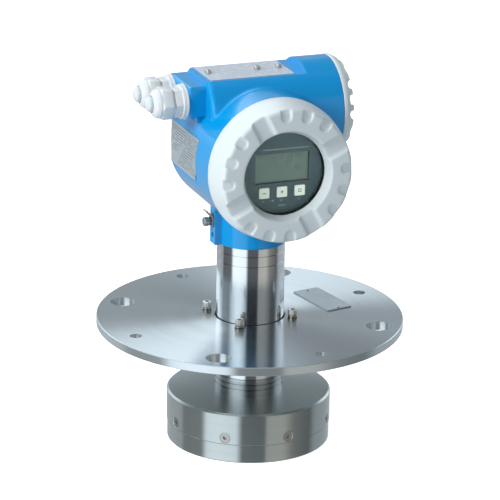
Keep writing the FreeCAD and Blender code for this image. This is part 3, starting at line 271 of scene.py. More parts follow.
def arc_points(corner: Vector, before: Vector, after: Vector, radius: float, steps: int) -> list[Vector]:
    """Round one corner of an outline.

    Args:
        corner: The corner.
        before: From the corner to the point before it.
        after: From the corner to the point after it.
        radius: Radius wanted; it shrinks where the sides are short.
        steps: Segments of the arc.

    Returns:
        The points of the arc.
    """
    half = before.angle(after) / 2
    reach = min(radius / math.tan(half), before.length * 0.49, after.length * 0.49)
    way = (before.normalized() + after.normalized()).normalized()
    centre = corner + way * (reach * math.tan(half) / math.sin(half))
    start = corner + before.normalized() * reach - centre
    sweep = start.angle_signed(corner + after.normalized() * reach - centre)
    points = []
    for step in range(steps + 1):
        turn = -sweep * step / steps
        points.append(centre + Vector((
            start.x * math.cos(turn) - start.y * math.sin(turn),
            start.x * math.sin(turn) + start.y * math.cos(turn),
        )))
    return points


def rounded_outline(outline: Outline, steps: int) -> list[Vector]:
    """Round the corners of an outline that carry a radius.

    Args:
        outline: Points (radius, level) or (radius, level, corner radius).
        steps: Segments in each rounded corner.

    Returns:
        Plain points with the corners rounded.
    """
    spots = [Vector(entry[:2]) for entry in outline]
    points = []
    for index, (spot, entry) in enumerate(zip(spots, outline)):
        if len(entry) < 3 or index in (0, len(outline) - 1):
            points.append(spot)
            continue
        points += arc_points(spot, spots[index - 1] - spot, spots[index + 1] - spot, entry[2], steps)
    return points


def spun(name: str, outline: Outline, steps: int = 72, corner_steps: int = 5) -> Piece:
    """Draw an outline by extruding one point, then spin it about the Z axis.

    Args:
        name: Name of the piece.
        outline: Points (radius, level[, corner radius]) in millimetres.
        steps: Steps of the spin.
        corner_steps: Segments in each rounded corner.

    Returns:
        The turned piece, closed and facing outwards.
    """
    points = rounded_outline(outline, corner_steps)
    clear_bench()
    bpy.ops.mesh.primitive_plane_add(size=1, location=ORIGIN)
    piece = newest(name)
    with editing(piece):
        bpy.ops.mesh.merge(type="CENTER")
        bpy.ops.transform.translate(value=(points[0].x, 0, points[0].y))
        for before, after in zip(points, points[1:]):
            step = after - before
            bpy.ops.mesh.extrude_region_move(TRANSFORM_OT_translate={"value": (step.x, 0, step.y)})
        bpy.ops.mesh.select_all(action="SELECT")
        bpy.ops.mesh.spin(steps=steps, angle=math.tau, center=ORIGIN, axis=(0, 0, 1))
        bpy.ops.mesh.select_all(action="SELECT")
        bpy.ops.mesh.remove_doubles(threshold=WELD)
        bpy.ops.mesh.normals_make_consistent(inside=False)
    return piece


def copied(piece: Piece, name: str) -> Piece:
    """Copy a piece with a mesh of its own.

    Args:
        piece: The piece.
        name: Name of the copy.

    Returns:
        The copy.
    """
    take(piece)
    bpy.ops.object.duplicate(linked=False)
    return newest(name)


def joined(pieces: Sequence[Piece], name: str) -> Piece:
    """Join pieces into one object.

    Args:
        pieces: The pieces.
        name: Name of the joined piece.

    Returns:
        The joined piece.
    """
    clear_bench()
    for piece in pieces:
        piece.select_set(True)
    bpy.context.view_layer.objects.active = pieces[0]
    if len(pieces) > 1:
        bpy.ops.object.join()
    return newest(name)


def repeated(piece: Piece, moves: Sequence[Matrix]) -> Piece:
    """Copy a piece to several places and join the copies under its name.

    Args:
        piece: The first piece; it is cleared away.
        moves: The move of each copy.

    Returns:
        The joined copies.
    """
    name = piece.name
    copies = [settle(copied(piece, name), move) for move in moves]
    bpy.data.objects.remove(piece, do_unlink=True)
    return joined(copies, name)


def apply_modifier(piece: Piece, kind: str, **settings: object) -> Piece:
    """Add a modifier with its settings and apply it at once.

    Args:
        piece: The piece it shapes.
        kind: Blender's name of the modifier.
        **settings: Values of its properties.

    Returns:
        The shaped piece.
    """
    take(piece)
    modifier = piece.modifiers.new(kind.title(), kind)
    for key, value in settings.items():
        setattr(modifier, key, value)
    bpy.ops.object.modifier_apply(modifier=modifier.name)
    return piece


def carve(piece: Piece, tool: Piece, operation: str = "DIFFERENCE") -> Piece:
    """Cut a tool out of a piece, or join or intersect them, and clear the tool away.

    Args:
        piece: The piece that stays.
        tool: The piece used on it.
        operation: DIFFERENCE, UNION or INTERSECT.

    Returns:
        The shaped piece.
    """
    apply_modifier(piece, "BOOLEAN", operation=operation, solver="EXACT", object=tool)
    bpy.data.objects.remove(tool, do_unlink=True)
    return piece


def ease_edges(piece: Piece, width: float, segments: int = 2, angle: float = 35.0) -> Piece:
    """Round every sharp edge.

    Args:
        piece: The piece.
        width: Width of the rounding.
        segments: Its number of segments.
        angle: Angle in degrees past which an edge is sharp.

    Returns:
        The eased piece.
    """
    return apply_modifier(
        piece, "BEVEL", width=width, segments=segments, limit_method="ANGLE",
        angle_limit=math.radians(angle), use_clamp_overlap=True, harden_normals=False,
    )


def round_as_cast(piece: Piece, grain: float, passes: int) -> Piece:
    """Give a piece the soft edges of a casting: an even skin, then smoothed.

    Args:
        piece: A closed piece in millimetres.
        grain: Edge length of the new skin.
        passes: How often the skin is relaxed.

    Returns:
        The softened piece.
    """
    apply_modifier(piece, "REMESH", mode="VOXEL", voxel_size=grain)
    return apply_modifier(piece, "SMOOTH", factor=0.5, iterations=passes)


# Shader tools and the effects that materials share


class Graph:
    """Adds and joins the nodes of one material, group or world."""

    def __init__(self, tree: Tree) -> None:
        """Start on a tree of nodes."""
        self.tree = tree

    def add(self, kind: str, **settings: object) -> Node:
        """Add a node and set its properties.

        Args:
            kind: Blender's name of the node.
            **settings: Values of its properties.

        Returns:
            The node.
        """
        node = self.tree.nodes.new(kind)
        node.location = (len(self.tree.nodes) * NODE_STEP, 0)
        for key, value in settings.items():
            setattr(node, key, value)
        return node

    def feed(self, socket: Socket, value: object) -> None:
        """Join a socket to an output, or set its own value.

        Args:
            socket: The input.
            value: An output or a plain value.
        """
        if isinstance(value, Socket):
            self.tree.links.new(value, socket)
        else:
            socket.default_value = value

    def fill(self, node: Node, **values: object) -> Node:
        """Feed a node's inputs by name.

        Args:
            node: The node.
            **values: Outputs or plain values; an underscore stands for a space.

        Returns:
            The same node.
        """
        for key, value in values.items():
            self.feed(node.inputs[key.replace("_", " ")], value)
        return node

    def group(self, tree: Tree, **values: object) -> Node:
        """Place a shared effect with its own values."""
        return self.fill(self.add("ShaderNodeGroup", node_tree=tree), **values)

    def maths(self, operation: str, *values: object, clamp: bool = False) -> Socket:
        """Work out a number.

        Args:
            operation: Blender's name of the operation.
            *values: One to three outputs or numbers.
            clamp: Whether the result stays between 0 and 1.

        Returns:
            The result.
        """
        node = self.add("ShaderNodeMath", operation=operation, use_clamp=clamp)
        for socket, value in zip(node.inputs, values):
            self.feed(socket, value)
        return node.outputs[0]

    def times(self, first: object, second: object) -> Socket:
        """Multiply two numbers."""
        return self.maths("MULTIPLY", first, second)

    def scaled_by(self, value: object, gain: object, offset: object, clamp: bool = False) -> Socket:
        """Multiply a number by a gain and add an offset."""
        return self.maths("MULTIPLY_ADD", value, gain, offset, clamp=clamp)

    def weighed(self, first: Socket, weight: float, second: Socket, second_weight: float) -> Socket:
        """Add two numbers, each with a weight."""
        return self.maths("ADD", self.times(first, weight), self.times(second, second_weight))

    def swing(self, value: Socket) -> Socket:
        """Centre a number between 0 and 1 on zero."""
        return self.maths("SUBTRACT", value, 0.5)

    def size_of(self, value: Socket) -> Socket:
        """Drop a number's sign."""
        return self.maths("ABSOLUTE", value)

    def split(self, vector: Socket) -> bpy.types.bpy_prop_collection:
        """Return the three parts of a vector."""
        return self.fill(self.add("ShaderNodeSeparateXYZ"), Vector=vector).outputs

    def toned(self, colour: Socket, gain: Socket) -> Socket:
        """Make a colour lighter or darker by a gain.

        Args:
            colour: The colour.
            gain: What it is multiplied by.

        Returns:
            The new colour.
        """
        node = self.add("ShaderNodeVectorMath", operation="SCALE")
        self.feed(node.inputs[0], colour)
        self.feed(node.inputs["Scale"], gain)
        return node.outputs[0]

    def along(self, vector: Socket, direction: Point) -> Socket:
        """Measure a vector along a direction.

        Args:
            vector: The vector.
            direction: A direction of unit length.

        Returns:
            The length along it.
        """
        node = self.add("ShaderNodeVectorMath", operation="DOT_PRODUCT")
        self.feed(node.inputs[0], vector)
        self.feed(node.inputs[1], direction)
        return node.outputs["Value"]

    def blend(self, factor: object, first: object, second: object) -> Socket:
        """Blend two colours.

        Args:
            factor: 0 for the first colour, 1 for the second.
            first: The first colour.
            second: The second colour.

        Returns:
            The blended colour.
        """
        node = self.add("ShaderNodeMix", data_type="RGBA")
        for place, value in zip(COLOUR_MIX_INPUTS, (factor, first, second)):
            self.feed(node.inputs[place], value)
        return node.outputs[COLOUR_MIX_OUTPUT]

    def between(
        self, value: object, low: float, high: float, at_low: float = 0.0, at_high: float = 1.0,
    ) -> Socket:
        """Map a number smoothly from one range to another.

        Args:
            value: The number.
            low: Where the change begins.
            high: Where it ends.
            at_low: Result at its beginning.
            at_high: Result at its end.

        Returns:
            The mapped number.
        """
        node = self.add("ShaderNodeMapRange", interpolation_type="SMOOTHSTEP")
        for socket, number in zip(node.inputs, (value, low, high, at_low, at_high)):
            self.feed(socket, number)
        return node.outputs[0]

    def noise(self, place: Socket, scale: object, detail: float, rough: float) -> Socket:
        """Sample noise in space.

        Args:
            place: Where it is sampled.
            scale: Its scale.
            detail: Its number of finer layers.
            rough: The weight of the finer layers.

        Returns:
            The noise, about 0.5.
        """
        node = self.add("ShaderNodeTexNoise", noise_dimensions="3D")
        return self.fill(node, Vector=place, Scale=scale, Detail=detail, Roughness=rough).outputs[0]

    def line_noise(self, place: Socket, scale: object, detail: float, rough: float) -> Socket:
        """Sample noise along a line, with the same settings as noise in space."""
        node = self.add("ShaderNodeTexNoise", noise_dimensions="1D")
        return self.fill(node, W=place, Scale=scale, Detail=detail, Roughness=rough).outputs[0]

    def own_place(self, centre: Point = ORIGIN) -> Socket:
        """Return the surface point, measured from a centre in metres.

        Args:
            centre: Where the measure starts.

        Returns:
            The point.
        """
        coordinates = self.add("ShaderNodeTexCoord")
        mapping = self.add("ShaderNodeMapping", vector_type="POINT")
        offset = tuple(-value for value in centre)
        return self.fill(mapping, Vector=coordinates.outputs["Object"], Location=offset).outputs[0]

    def bump(self, height: Socket, depth: float, strength: float, normal: Socket | None = None) -> Socket:
        """Turn a height into a normal.

        Args:
            height: The height, from 0 to 1.
            depth: What a height of 1 stands for, in metres.
            strength: How strongly it shows.
            normal: The normal it starts from, if not the surface's own.

        Returns:
            The normal.
        """
        node = self.fill(self.add("ShaderNodeBump"), Strength=strength, Distance=depth, Height=height)
        if normal is not None:
            self.fill(node, Normal=normal)
        return node.outputs[0]


def new_effect(name: str, takes: Sequence[str], gives: Sequence[str]) -> tuple[Graph, Sockets, Node]:
    """Start a shared effect as a node group with named sockets.

    Args:
        name: Name of the effect.
        takes: Names of the sockets that go in.
        gives: Names of the sockets that come out.

    Returns:
        The graph, the sockets that bring its inputs, and its output node.
    """
    tree = bpy.data.node_groups.new(name, "ShaderNodeTree")
    for labels, way in ((takes, "INPUT"), (gives, "OUTPUT")):
        for label in labels:
            kind = SOCKET_KINDS.get(label, "NodeSocketFloat")
            tree.interface.new_socket(name=label, in_out=way, socket_type=kind)
    graph = Graph(tree)
    return graph, graph.add("NodeGroupInput").outputs, graph.add("NodeGroupOutput")


class Effects:
    """The effects that several finishes share, each built once."""

    def __init__(self) -> None:
        """Build every effect."""
        self.mottle = self._mottle()
        self.peel = self._peel()
        self.tool_marks = self._tool_marks()
        self.brush = self._brush()
        self.print_rows = self._print_rows()

    def _mottle(self) -> Tree:
        """Slight cloudy change of a colour and of a roughness.

        Returns:
            The group, with outputs Colour and Roughness.
        """
        takes = ["Place", "Colour", "Scale", "Spread", "Roughness", "Roughness Spread"]
        graph, into, out = new_effect("cloudy_variation", takes, ["Colour", "Roughness"])
        wide = graph.noise(into["Place"], into["Scale"], 4.0, 0.55)
        fine = graph.noise(into["Place"], graph.times(into["Scale"], 9.0), 2.0, 0.6)
        swing = graph.swing(graph.weighed(wide, 0.7, fine, 0.3))
        gain = graph.scaled_by(swing, into["Spread"], 1.0)
        rough = graph.scaled_by(swing, into["Roughness Spread"], into["Roughness"], clamp=True)
        graph.fill(out, Colour=graph.toned(into["Colour"], gain), Roughness=rough)
        return graph.tree

    def _peel(self) -> Tree:
        """The fine orange peel of sprayed powder paint over a casting.

        Returns:
            The group, with output Height.
        """
        graph, into, out = new_effect("paint_peel", ["Place", "Scale"], ["Height"])
        skin = graph.noise(into["Place"], into["Scale"], 2.0, 0.45)
        waves = graph.noise(into["Place"], graph.times(into["Scale"], 0.12), 1.0, 0.4)
        graph.fill(out, Height=graph.weighed(skin, 0.55, waves, 0.9))
        return graph.tree

    def _tool_marks(self) -> Tree:
        """Feed marks of a lathe: rings on a face, lines round a cylinder.

        Returns:
            The group, with outputs Height and Tone.
        """
        graph, into, out = new_effect("lathe_marks", ["Place", "Lines"], ["Height", "Tone"])
        across, deep, up = graph.split(into["Place"])
        square = graph.maths("ADD", graph.maths("POWER", across, 2.0), graph.maths("POWER", deep, 2.0))
        path = graph.maths("ADD", graph.maths("SQRT", square), graph.times(up, 1.07))
        fine = graph.line_noise(path, into["Lines"], 3.0, 0.7)
        broad = graph.line_noise(path, graph.times(into["Lines"], 0.11), 2.0, 0.6)
        graph.fill(out, Height=fine, Tone=graph.weighed(fine, 0.45, broad, 0.55))
        return graph.tree

    def _brush(self) -> Tree:
        """Straight brushed streaks; the place is squeezed along the streaks beforehand.

        Returns:
            The group, with outputs Height and Tone.
        """
        graph, into, out = new_effect("brushed_streaks", ["Place", "Scale"], ["Height", "Tone"])
        fine = graph.noise(into["Place"], into["Scale"], 4.0, 0.65)
        broad = graph.noise(into["Place"], graph.times(into["Scale"], 0.2), 2.0, 0.5)
        graph.fill(out, Height=fine, Tone=graph.weighed(fine, 0.5, broad, 0.5))
        return graph.tree

    def _print_rows(self) -> Tree:
        """Plain bars in rows, standing for print that the part leaves generic.

        Returns:
            The group, with output Ink. Across and Up run in metres.
        """
        graph, into, out = new_effect("print_rows", ["Across", "Up", "Rows", "Bars", "Cover"], ["Ink"])
        row = graph.times(into["Up"], into["Rows"])
        level = graph.maths("FLOOR", row)
        inside = graph.maths("FRACT", row)
        line = graph.times(graph.between(inside, 0.26, 0.34), graph.between(inside, 0.74, 0.66))
        along = graph.scaled_by(into["Across"], into["Bars"], graph.times(level, 7.31))
        step = graph.times(graph.maths("FLOOR", along), 1.37)
        chance = graph.line_noise(graph.scaled_by(level, 3.7, step), 1.0, 0.0, 0.5)
        shown = graph.maths("LESS_THAN", chance, into["Cover"])
        graph.fill(out, Ink=graph.times(line, shown))
        return graph.tree


EFFECTS = Effects()


# Finishes


@dataclass(frozen=True)
class Clouds:
    """How coarse the cloudy change of a surface is, and how far colour and roughness follow it."""

    scale: float
    spread: float
    rough_spread: float


class Surface:
    """A material while it is built, with its shader and its cloudy colour and roughness."""

    def __init__(
        self, name: str, colour: Colour, roughness: float, clouds: Clouds, centre: Point = ORIGIN,
    ) -> None:
        """Start a material whose colour and roughness change slightly.

        Args:
            name: Name of the material.
            colour: Its main colour.
            roughness: Its main roughness.
            clouds: How far both change.
            centre: Where patterns are measured from, in metres.
        """
        self.material = bpy.data.materials.new(name)
        self.material.use_nodes = True
        self.material.node_tree.nodes.clear()
        self.graph = Graph(self.material.node_tree)
        self.shader = self.graph.add("ShaderNodeBsdfPrincipled")
        self.output = self.graph.add("ShaderNodeOutputMaterial")
        self.graph.fill(self.output, Surface=self.shader.outputs[0])
        self.place = self.graph.own_place(centre)
        cloud = self.graph.group(
            EFFECTS.mottle, Place=self.place, Colour=colour, Scale=clouds.scale, Spread=clouds.spread,
            Roughness=roughness, Roughness_Spread=clouds.rough_spread,
        )
        self.colour, self.roughness = cloud.outputs
        self.wear(Base_Color=self.colour, Roughness=self.roughness)

    def wear(self, **values: object) -> Material:
        """Feed the shader's inputs by name and return the material."""
        self.graph.fill(self.shader, **values)
        return self.material


@dataclass(frozen=True)
class Finish(ABC):
    """What every finish has: a name and a main colour."""

    name: str
    colour: Colour

    @abstractmethod
    def material(self) -> Material:
        """Build the material."""


@dataclass(frozen=True)
class CastPaint(Finish):
    """Powder paint over an aluminium casting, its edges rounded by the light."""

    roughness: float
    coat: float
    shine: float = 0.5
    edge_radius: float = 0.0011
    coat_roughness: float = 0.09
    peel_scale: float = 900.0
    peel_depth: float = 0.00004
    clouds: Clouds = Clouds(26.0, 0.1, 0.14)

    def material(self) -> Material:
        """Build the paint.

        Returns:
            The material.
        """
        skin = Surface(self.name, self.colour, self.roughness, self.clouds)
        graph = skin.graph
        peel = graph.group(EFFECTS.peel, Place=skin.place, Scale=self.peel_scale)
        rounding = None
        if self.edge_radius:
            rounding = graph.fill(graph.add("ShaderNodeBevel", samples=4), Radius=self.edge_radius).outputs[0]
        return skin.wear(
            Normal=graph.bump(peel.outputs["Height"], self.peel_depth, 0.6, rounding), Coat_Weight=self.coat,
            Coat_Roughness=self.coat_roughness, Specular_IOR_Level=self.shine,
        )


@dataclass(frozen=True)
class TurnedSteel(Finish):
    """Stainless steel off the lathe: smeared reflections and faint tone rings, with painted shade as darker
    lines at the grooves' levels.
    """

    roughness: float
    smear: float
    lines: float
    depth: float = 0.0
    tone: float = 0.12
    clouds: Clouds = Clouds(9.0, 0.02, 0.02)
    face_roughness: float = 0.0
    face_smear: float = 0.0
    side_metallic: float = 1.0
    # Levels of grooves in metres, each with the gain of the painted shade line drawn there.
    groove_shade_levels: tuple[tuple[float, float], ...] = ()
    groove_shade_half_width: tuple[float, float] = (0.0003, 0.0007)
    flatness: tuple[float, float] = (0.6, 0.95)

    def material(self) -> Material:
        """Build the steel.

        Returns:
            The material.
        """
        skin = Surface(self.name, self.colour, self.roughness, self.clouds)
        graph = skin.graph
        marks = graph.group(EFFECTS.tool_marks, Place=skin.place, Lines=self.lines).outputs
        swing = graph.swing(marks["Tone"])
        gain = graph.scaled_by(swing, self.tone * 2, 1.0)
        # Painted shade: the base colour darkens in thin rings at the groove levels, standing in for the shade
        # inside the grooves.
        for level, groove_shade in self.groove_shade_levels:
            off = graph.size_of(graph.maths("SUBTRACT", graph.split(skin.place)[2], level))
            gain = graph.times(gain, graph.between(off, *self.groove_shade_half_width, groove_shade, 1.0))
        facing = graph.split(graph.add("ShaderNodeTexCoord").outputs["Normal"])[2]
        flat = graph.between(graph.size_of(facing), *self.flatness)
        rough, smear = graph.scaled_by(swing, 0.05, skin.roughness, clamp=True), self.smear
        if self.face_roughness:
            rough = graph.scaled_by(flat, self.face_roughness - self.roughness, rough)
            smear = graph.scaled_by(flat, self.face_smear - self.smear, self.smear)
        if self.depth:
            skin.wear(Normal=graph.bump(marks["Height"], self.depth, 0.5))
        tangent = graph.add("ShaderNodeTangent", direction_type="RADIAL", axis="Z")
        return skin.wear(
            Base_Color=graph.toned(skin.colour, gain), Roughness=rough,
            Metallic=graph.scaled_by(flat, 1 - self.side_metallic, self.side_metallic),
            Anisotropic=smear, Anisotropic_Rotation=0.25, Tangent=tangent.outputs[0],
        )


@dataclass(frozen=True)
class SmallSteel(Finish):
    """Bright or dull metal of fasteners and small parts, lightly tumbled."""

    roughness: float
    grain: float = 900.0
    depth: float = 0.00001
    clouds: Clouds = Clouds(220.0, 0.3, 0.25)

    def material(self) -> Material:
        """Build the metal.

        Returns:
            The material.
        """
        skin = Surface(self.name, self.colour, self.roughness, self.clouds)
        streak = skin.graph.group(EFFECTS.brush, Place=skin.place, Scale=self.grain)
        return skin.wear(Normal=skin.graph.bump(streak.outputs["Height"], self.depth, 0.4), Metallic=1.0)


@dataclass(frozen=True)
class Moulding(Finish):
    """Moulded plastic or rubber with a fine grain."""

    roughness: float
    grain: float = 1800.0
    depth: float = 0.00001
    glow_through: float = 0.0
    glow_depth: float = 0.002
    clouds: Clouds = Clouds(90.0, 0.08, 0.15)

    def material(self) -> Material:
        """Build the plastic.

        Returns:
            The material.
        """
        skin = Surface(self.name, self.colour, self.roughness, self.clouds)
        grain = skin.graph.group(EFFECTS.peel, Place=skin.place, Scale=self.grain)
        if self.glow_through:
            skin.wear(Subsurface_Weight=self.glow_through, Subsurface_Scale=self.glow_depth)
        return skin.wear(Normal=skin.graph.bump(grain.outputs["Height"], self.depth, 0.5))


@dataclass(frozen=True)
class PrintedFoil(Finish):
    """A metal plate with brushed streaks and rows of generic grey bars."""

    ink: Colour
    centre: Point
    across: Point
    up: Point
    half_width: float
    half_height: float
    rows: float
    bars: float
    ink_weight: float
    metallic: float
    roughness: float = 0.36
    cover: float = 0.62
    side_margin: tuple[float, float] = (0.002, 0.003)
    end_margin: tuple[float, float] = (0.0016, 0.0024)
    clouds: Clouds = Clouds(60.0, 0.16, 0.2)

    def material(self) -> Material:
        """Build the plate's finish.

        Returns:
            The material.
        """
        skin = Surface(self.name, self.colour, self.roughness, self.clouds, self.centre)
        graph = skin.graph
        across, up = graph.along(skin.place, self.across), graph.along(skin.place, self.up)
        squeezed = graph.fill(graph.add("ShaderNodeCombineXYZ"), X=graph.times(across, 0.06), Y=up)
        streak = graph.group(EFFECTS.brush, Place=squeezed.outputs[0], Scale=2600.0).outputs
        toned = graph.toned(skin.colour, graph.scaled_by(graph.swing(streak["Tone"]), 0.3, 1.0))
        rows = graph.group(
            EFFECTS.print_rows, Across=across, Up=up, Rows=self.rows, Bars=self.bars, Cover=self.cover)
        sides = graph.between(graph.size_of(across), *(self.half_width - edge for edge in self.side_margin))
        ends = graph.between(graph.size_of(up), *(self.half_height - edge for edge in self.end_margin))
        patches = graph.between(graph.noise(skin.place, 45.0, 1.0, 0.4), 0.36, 0.44)
        ink = graph.times(graph.times(rows.outputs["Ink"], graph.times(sides, ends)), patches)
        weight = graph.times(ink, self.ink_weight)
        return skin.wear(
            Base_Color=graph.blend(weight, toned, self.ink),
            Roughness=graph.scaled_by(ink, 0.2, skin.roughness, clamp=True),
            Metallic=graph.scaled_by(weight, -0.6, self.metallic, clamp=True),
            Normal=graph.bump(streak["Height"], 0.00001, 0.4),
        )


@dataclass(frozen=True)
class WindowGlass(Finish):
    """Clear cover glass that lets light reach what lies behind it."""

    roughness: float = 0.02
    bending: float = 1.2
    clouds: Clouds = Clouds(30.0, 0.02, 0.02)

    def material(self) -> Material:
        """Build the glass.

        Returns:
            The material.
        """
        skin = Surface(self.name, self.colour, self.roughness, self.clouds)
        graph = skin.graph
        clear = graph.fill(graph.add("ShaderNodeBsdfTransparent"), Color=self.colour)
        path = graph.add("ShaderNodeLightPath")
        mix = graph.add("ShaderNodeMixShader")
        ways = (path.outputs["Is Shadow Ray"], skin.shader.outputs[0], clear.outputs[0])
        for socket, value in zip(mix.inputs, ways):
            graph.feed(socket, value)
        graph.fill(skin.output, Surface=mix.outputs[0])
        return skin.wear(Transmission_Weight=1.0, IOR=self.bending)


@dataclass(frozen=True)
class LiquidCrystal(Finish):
    """The unlit screen: a grey-green field in a darker frame, with the faint grid of its cells."""

    frame_colour: Colour
    centre: Point
    half_width: float
    half_height: float
    edge: float = 0.0004
    cells_a_metre: float = 1800.0
    gap_share: float = 0.16
    gap_weight: float = 0.1
    clouds: Clouds = Clouds(18.0, 0.12, 0.1)

    def material(self) -> Material:
        """Build the screen's finish.

        Returns:
            The material.
        """
        skin = Surface(self.name, self.colour, 0.28, self.clouds, self.centre)
        graph = skin.graph
        across, _, up = graph.split(skin.place)
        sides = graph.between(graph.size_of(across), self.half_width, self.half_width - self.edge)
        ends = graph.between(graph.size_of(up), self.half_height, self.half_height - self.edge)
        shares = (graph.maths("FRACT", graph.times(way, self.cells_a_metre)) for way in (across, up))
        columns, rows = (graph.maths("LESS_THAN", share, self.gap_share) for share in shares)
        grid = graph.times(graph.maths("MAXIMUM", columns, rows), self.gap_weight)
        cells = graph.blend(grid, skin.colour, self.frame_colour)
        return skin.wear(Base_Color=graph.blend(graph.times(sides, ends), self.frame_colour, cells))


@dataclass(frozen=True)
class CircuitBoard(Finish):
    """Solder mask over a faint pattern of tracks."""

    track: Colour
    clouds: Clouds = Clouds(120.0, 0.2, 0.1)

    def material(self) -> Material:
        """Build the board's finish.

        Returns:
            The material.
        """
        skin = Surface(self.name, self.colour, 0.35, self.clouds)
        graph = skin.graph
        cells = graph.add("ShaderNodeTexVoronoi", feature="DISTANCE_TO_EDGE", distance="CHEBYCHEV")
        graph.fill(cells, Vector=skin.place, Scale=260.0)
        tracks = graph.between(cells.outputs["Distance"], 0.09, 0.05)
        colour = graph.blend(graph.times(tracks, 0.5), skin.colour, self.track)
        return skin.wear(Base_Color=colour, Normal=graph.bump(tracks, 0.00003, 0.5))


@dataclass(frozen=True)
class Finishes:
    """Every finish of the instrument, by what wears it."""

    blue_paint: Finish = CastPaint("blue_casting_paint", shade(0, 146, 212), 0.36, 0.85, shine=0.1)
    grey_paint: Finish = CastPaint(
        "grey_cover_paint", shade(208, 217, 221), 0.42, 0.12, edge_radius=0.0,
        clouds=Clouds(26.0, 0.04, 0.14))
    flange: Finish = TurnedSteel(
        "flange_turned_face", shade(200, 209, 212), 0.22, 0.98, 700.0, tone=0.03, side_metallic=0.72)
    # The neck tube carries painted shade lines at the levels of its grooves.
    tube: Finish = TurnedSteel(
        "neck_turned_tube", shade(216, 220, 222), 0.11, 0.85, 900.0, tone=0.04,
        groove_shade_levels=((0.0535, 0.5), (0.0585, 0.5), (0.0635, 0.5), (0.172, 0.78), (0.1815, 0.78)))
    antenna: Finish = TurnedSteel(
        "antenna_turned_drum", shade(178, 186, 185), 0.17, 0.92, 900.0, clouds=Clouds(9.0, 0.04, 0.02),
        face_roughness=0.42, face_smear=0.3, side_metallic=0.8)
    clamp: Finish = TurnedSteel(
        "clamp_turned_ring", shade(190, 195, 197), 0.24, 0.6, 2000.0, depth=0.000004,
        clouds=Clouds(9.0, 0.08, 0.02))
    fastener: Finish = SmallSteel("fastener_steel", shade(214, 212, 206), 0.38)
    countersunk: Finish = SmallSteel("countersunk_steel", shade(172, 170, 166), 0.36)
    washer: Finish = SmallSteel("washer_steel", shade(186, 182, 174), 0.38)
    flat_washer: Finish = SmallSteel("flat_washer_steel", shade(160, 156, 148), 0.3)
    earth_clip: Finish = SmallSteel("earth_clip_steel", shade(168, 164, 156), 0.28)
    earth_washer: Finish = SmallSteel("earth_washer_steel", shade(158, 154, 146), 0.32)
    rivet: Finish = SmallSteel("rivet_metal", shade(170, 170, 168), 0.35)
    backing: Finish = SmallSteel("backing_plate_metal", shade(168, 170, 172), 0.4, 300.0)
    brass: Finish = SmallSteel("feed_line_brass", shade(204, 170, 96), 0.28)
    gland: Finish = Moulding("gland_polyamide", shade(214, 219, 222), 0.36, glow_through=0.15)
    plug: Finish = Moulding("plug_polyamide", shade(206, 214, 219), 0.32, glow_through=0.15)
    rubber: Finish = Moulding("seal_rubber", shade(40, 42, 44), 0.6, 900.0, 0.00003)
    grip_rubber: Finish = Moulding("gland_insert_rubber", shade(66, 74, 80), 0.55, 900.0, 0.00003)
    seam_gasket: Finish = Moulding("seam_gasket_fibre", shade(176, 182, 180), 0.5, 900.0)
    bezel: Finish = Moulding("display_bezel_plastic", shade(42, 70, 76), 0.42)
    holder: Finish = Moulding("display_holder_plastic", shade(34, 40, 43), 0.45)
    key: Finish = Moulding("key_plastic", shade(236, 240, 226), 0.4, glow_through=0.1)
    key_mark: Finish = Moulding("key_mark_ink", shade(70, 74, 72), 0.5)
    print_mark: Finish = Moulding("bezel_mark_ink", shade(132, 148, 150), 0.5)
    module: Finish = Moulding("potting_compound", shade(30, 32, 34), 0.5, 700.0, 0.00004)
    terminal: Finish = Moulding("terminal_plastic", shade(92, 104, 110), 0.45)
    antenna_window: Finish = Moulding(
        "antenna_window_plastic", shade(222, 222, 214), 0.42, 700.0, 0.00002, glow_through=0.1)
    board: Finish = CircuitBoard("board_solder_mask", shade(26, 84, 56), shade(120, 150, 96))
    glass: Finish = WindowGlass("window_clear_glass", (0.93, 0.97, 0.96, 1.0))


FINISHES = Finishes()


def dress(finish: Finish, *nodes: str) -> None:
    """Give CAD nodes a finish and leave their meshes alone.

    Args:
        finish: What they wear.
        *nodes: Names of the nodes.
    """
    material = finish.material()
    for name in nodes:
        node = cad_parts[name]
        if not node.material_slots:
            node.data.materials.append(material)
        for place in node.material_slots:
            place.material = material
        LOG.info("dressed %s in %s", name, finish.name)


def finish_piece(
    piece: Piece, body: str, finish: Finish, stands_for: str = "", crease: float = 32.0,
) -> Piece:
    """Scale a seated piece to metres, smooth its shading, dress it and let it ride.

    Args:
        piece: The seated piece in millimetres.
        body: The moving body it rides on.
        finish: What it wears.
        stands_for: The CAD node it replaces, if any.
        crease: Angle in degrees past which an edge stays sharp.

    Returns:
        The finished piece.
    """
    settle(piece, Matrix.Scale(MM, 4))
    piece.data.materials.clear()
    piece.data.materials.append(finish.material())
    take(piece)
    bpy.ops.object.shade_smooth_by_angle(angle=math.radians(crease))
    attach(piece, body)
    if stands_for:
        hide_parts(stands_for)
    LOG.info("built %s with %d faces on %s", piece.name, len(piece.data.polygons), body)
    return piece


# Steel base: flange, clamp, neck tube and antenna


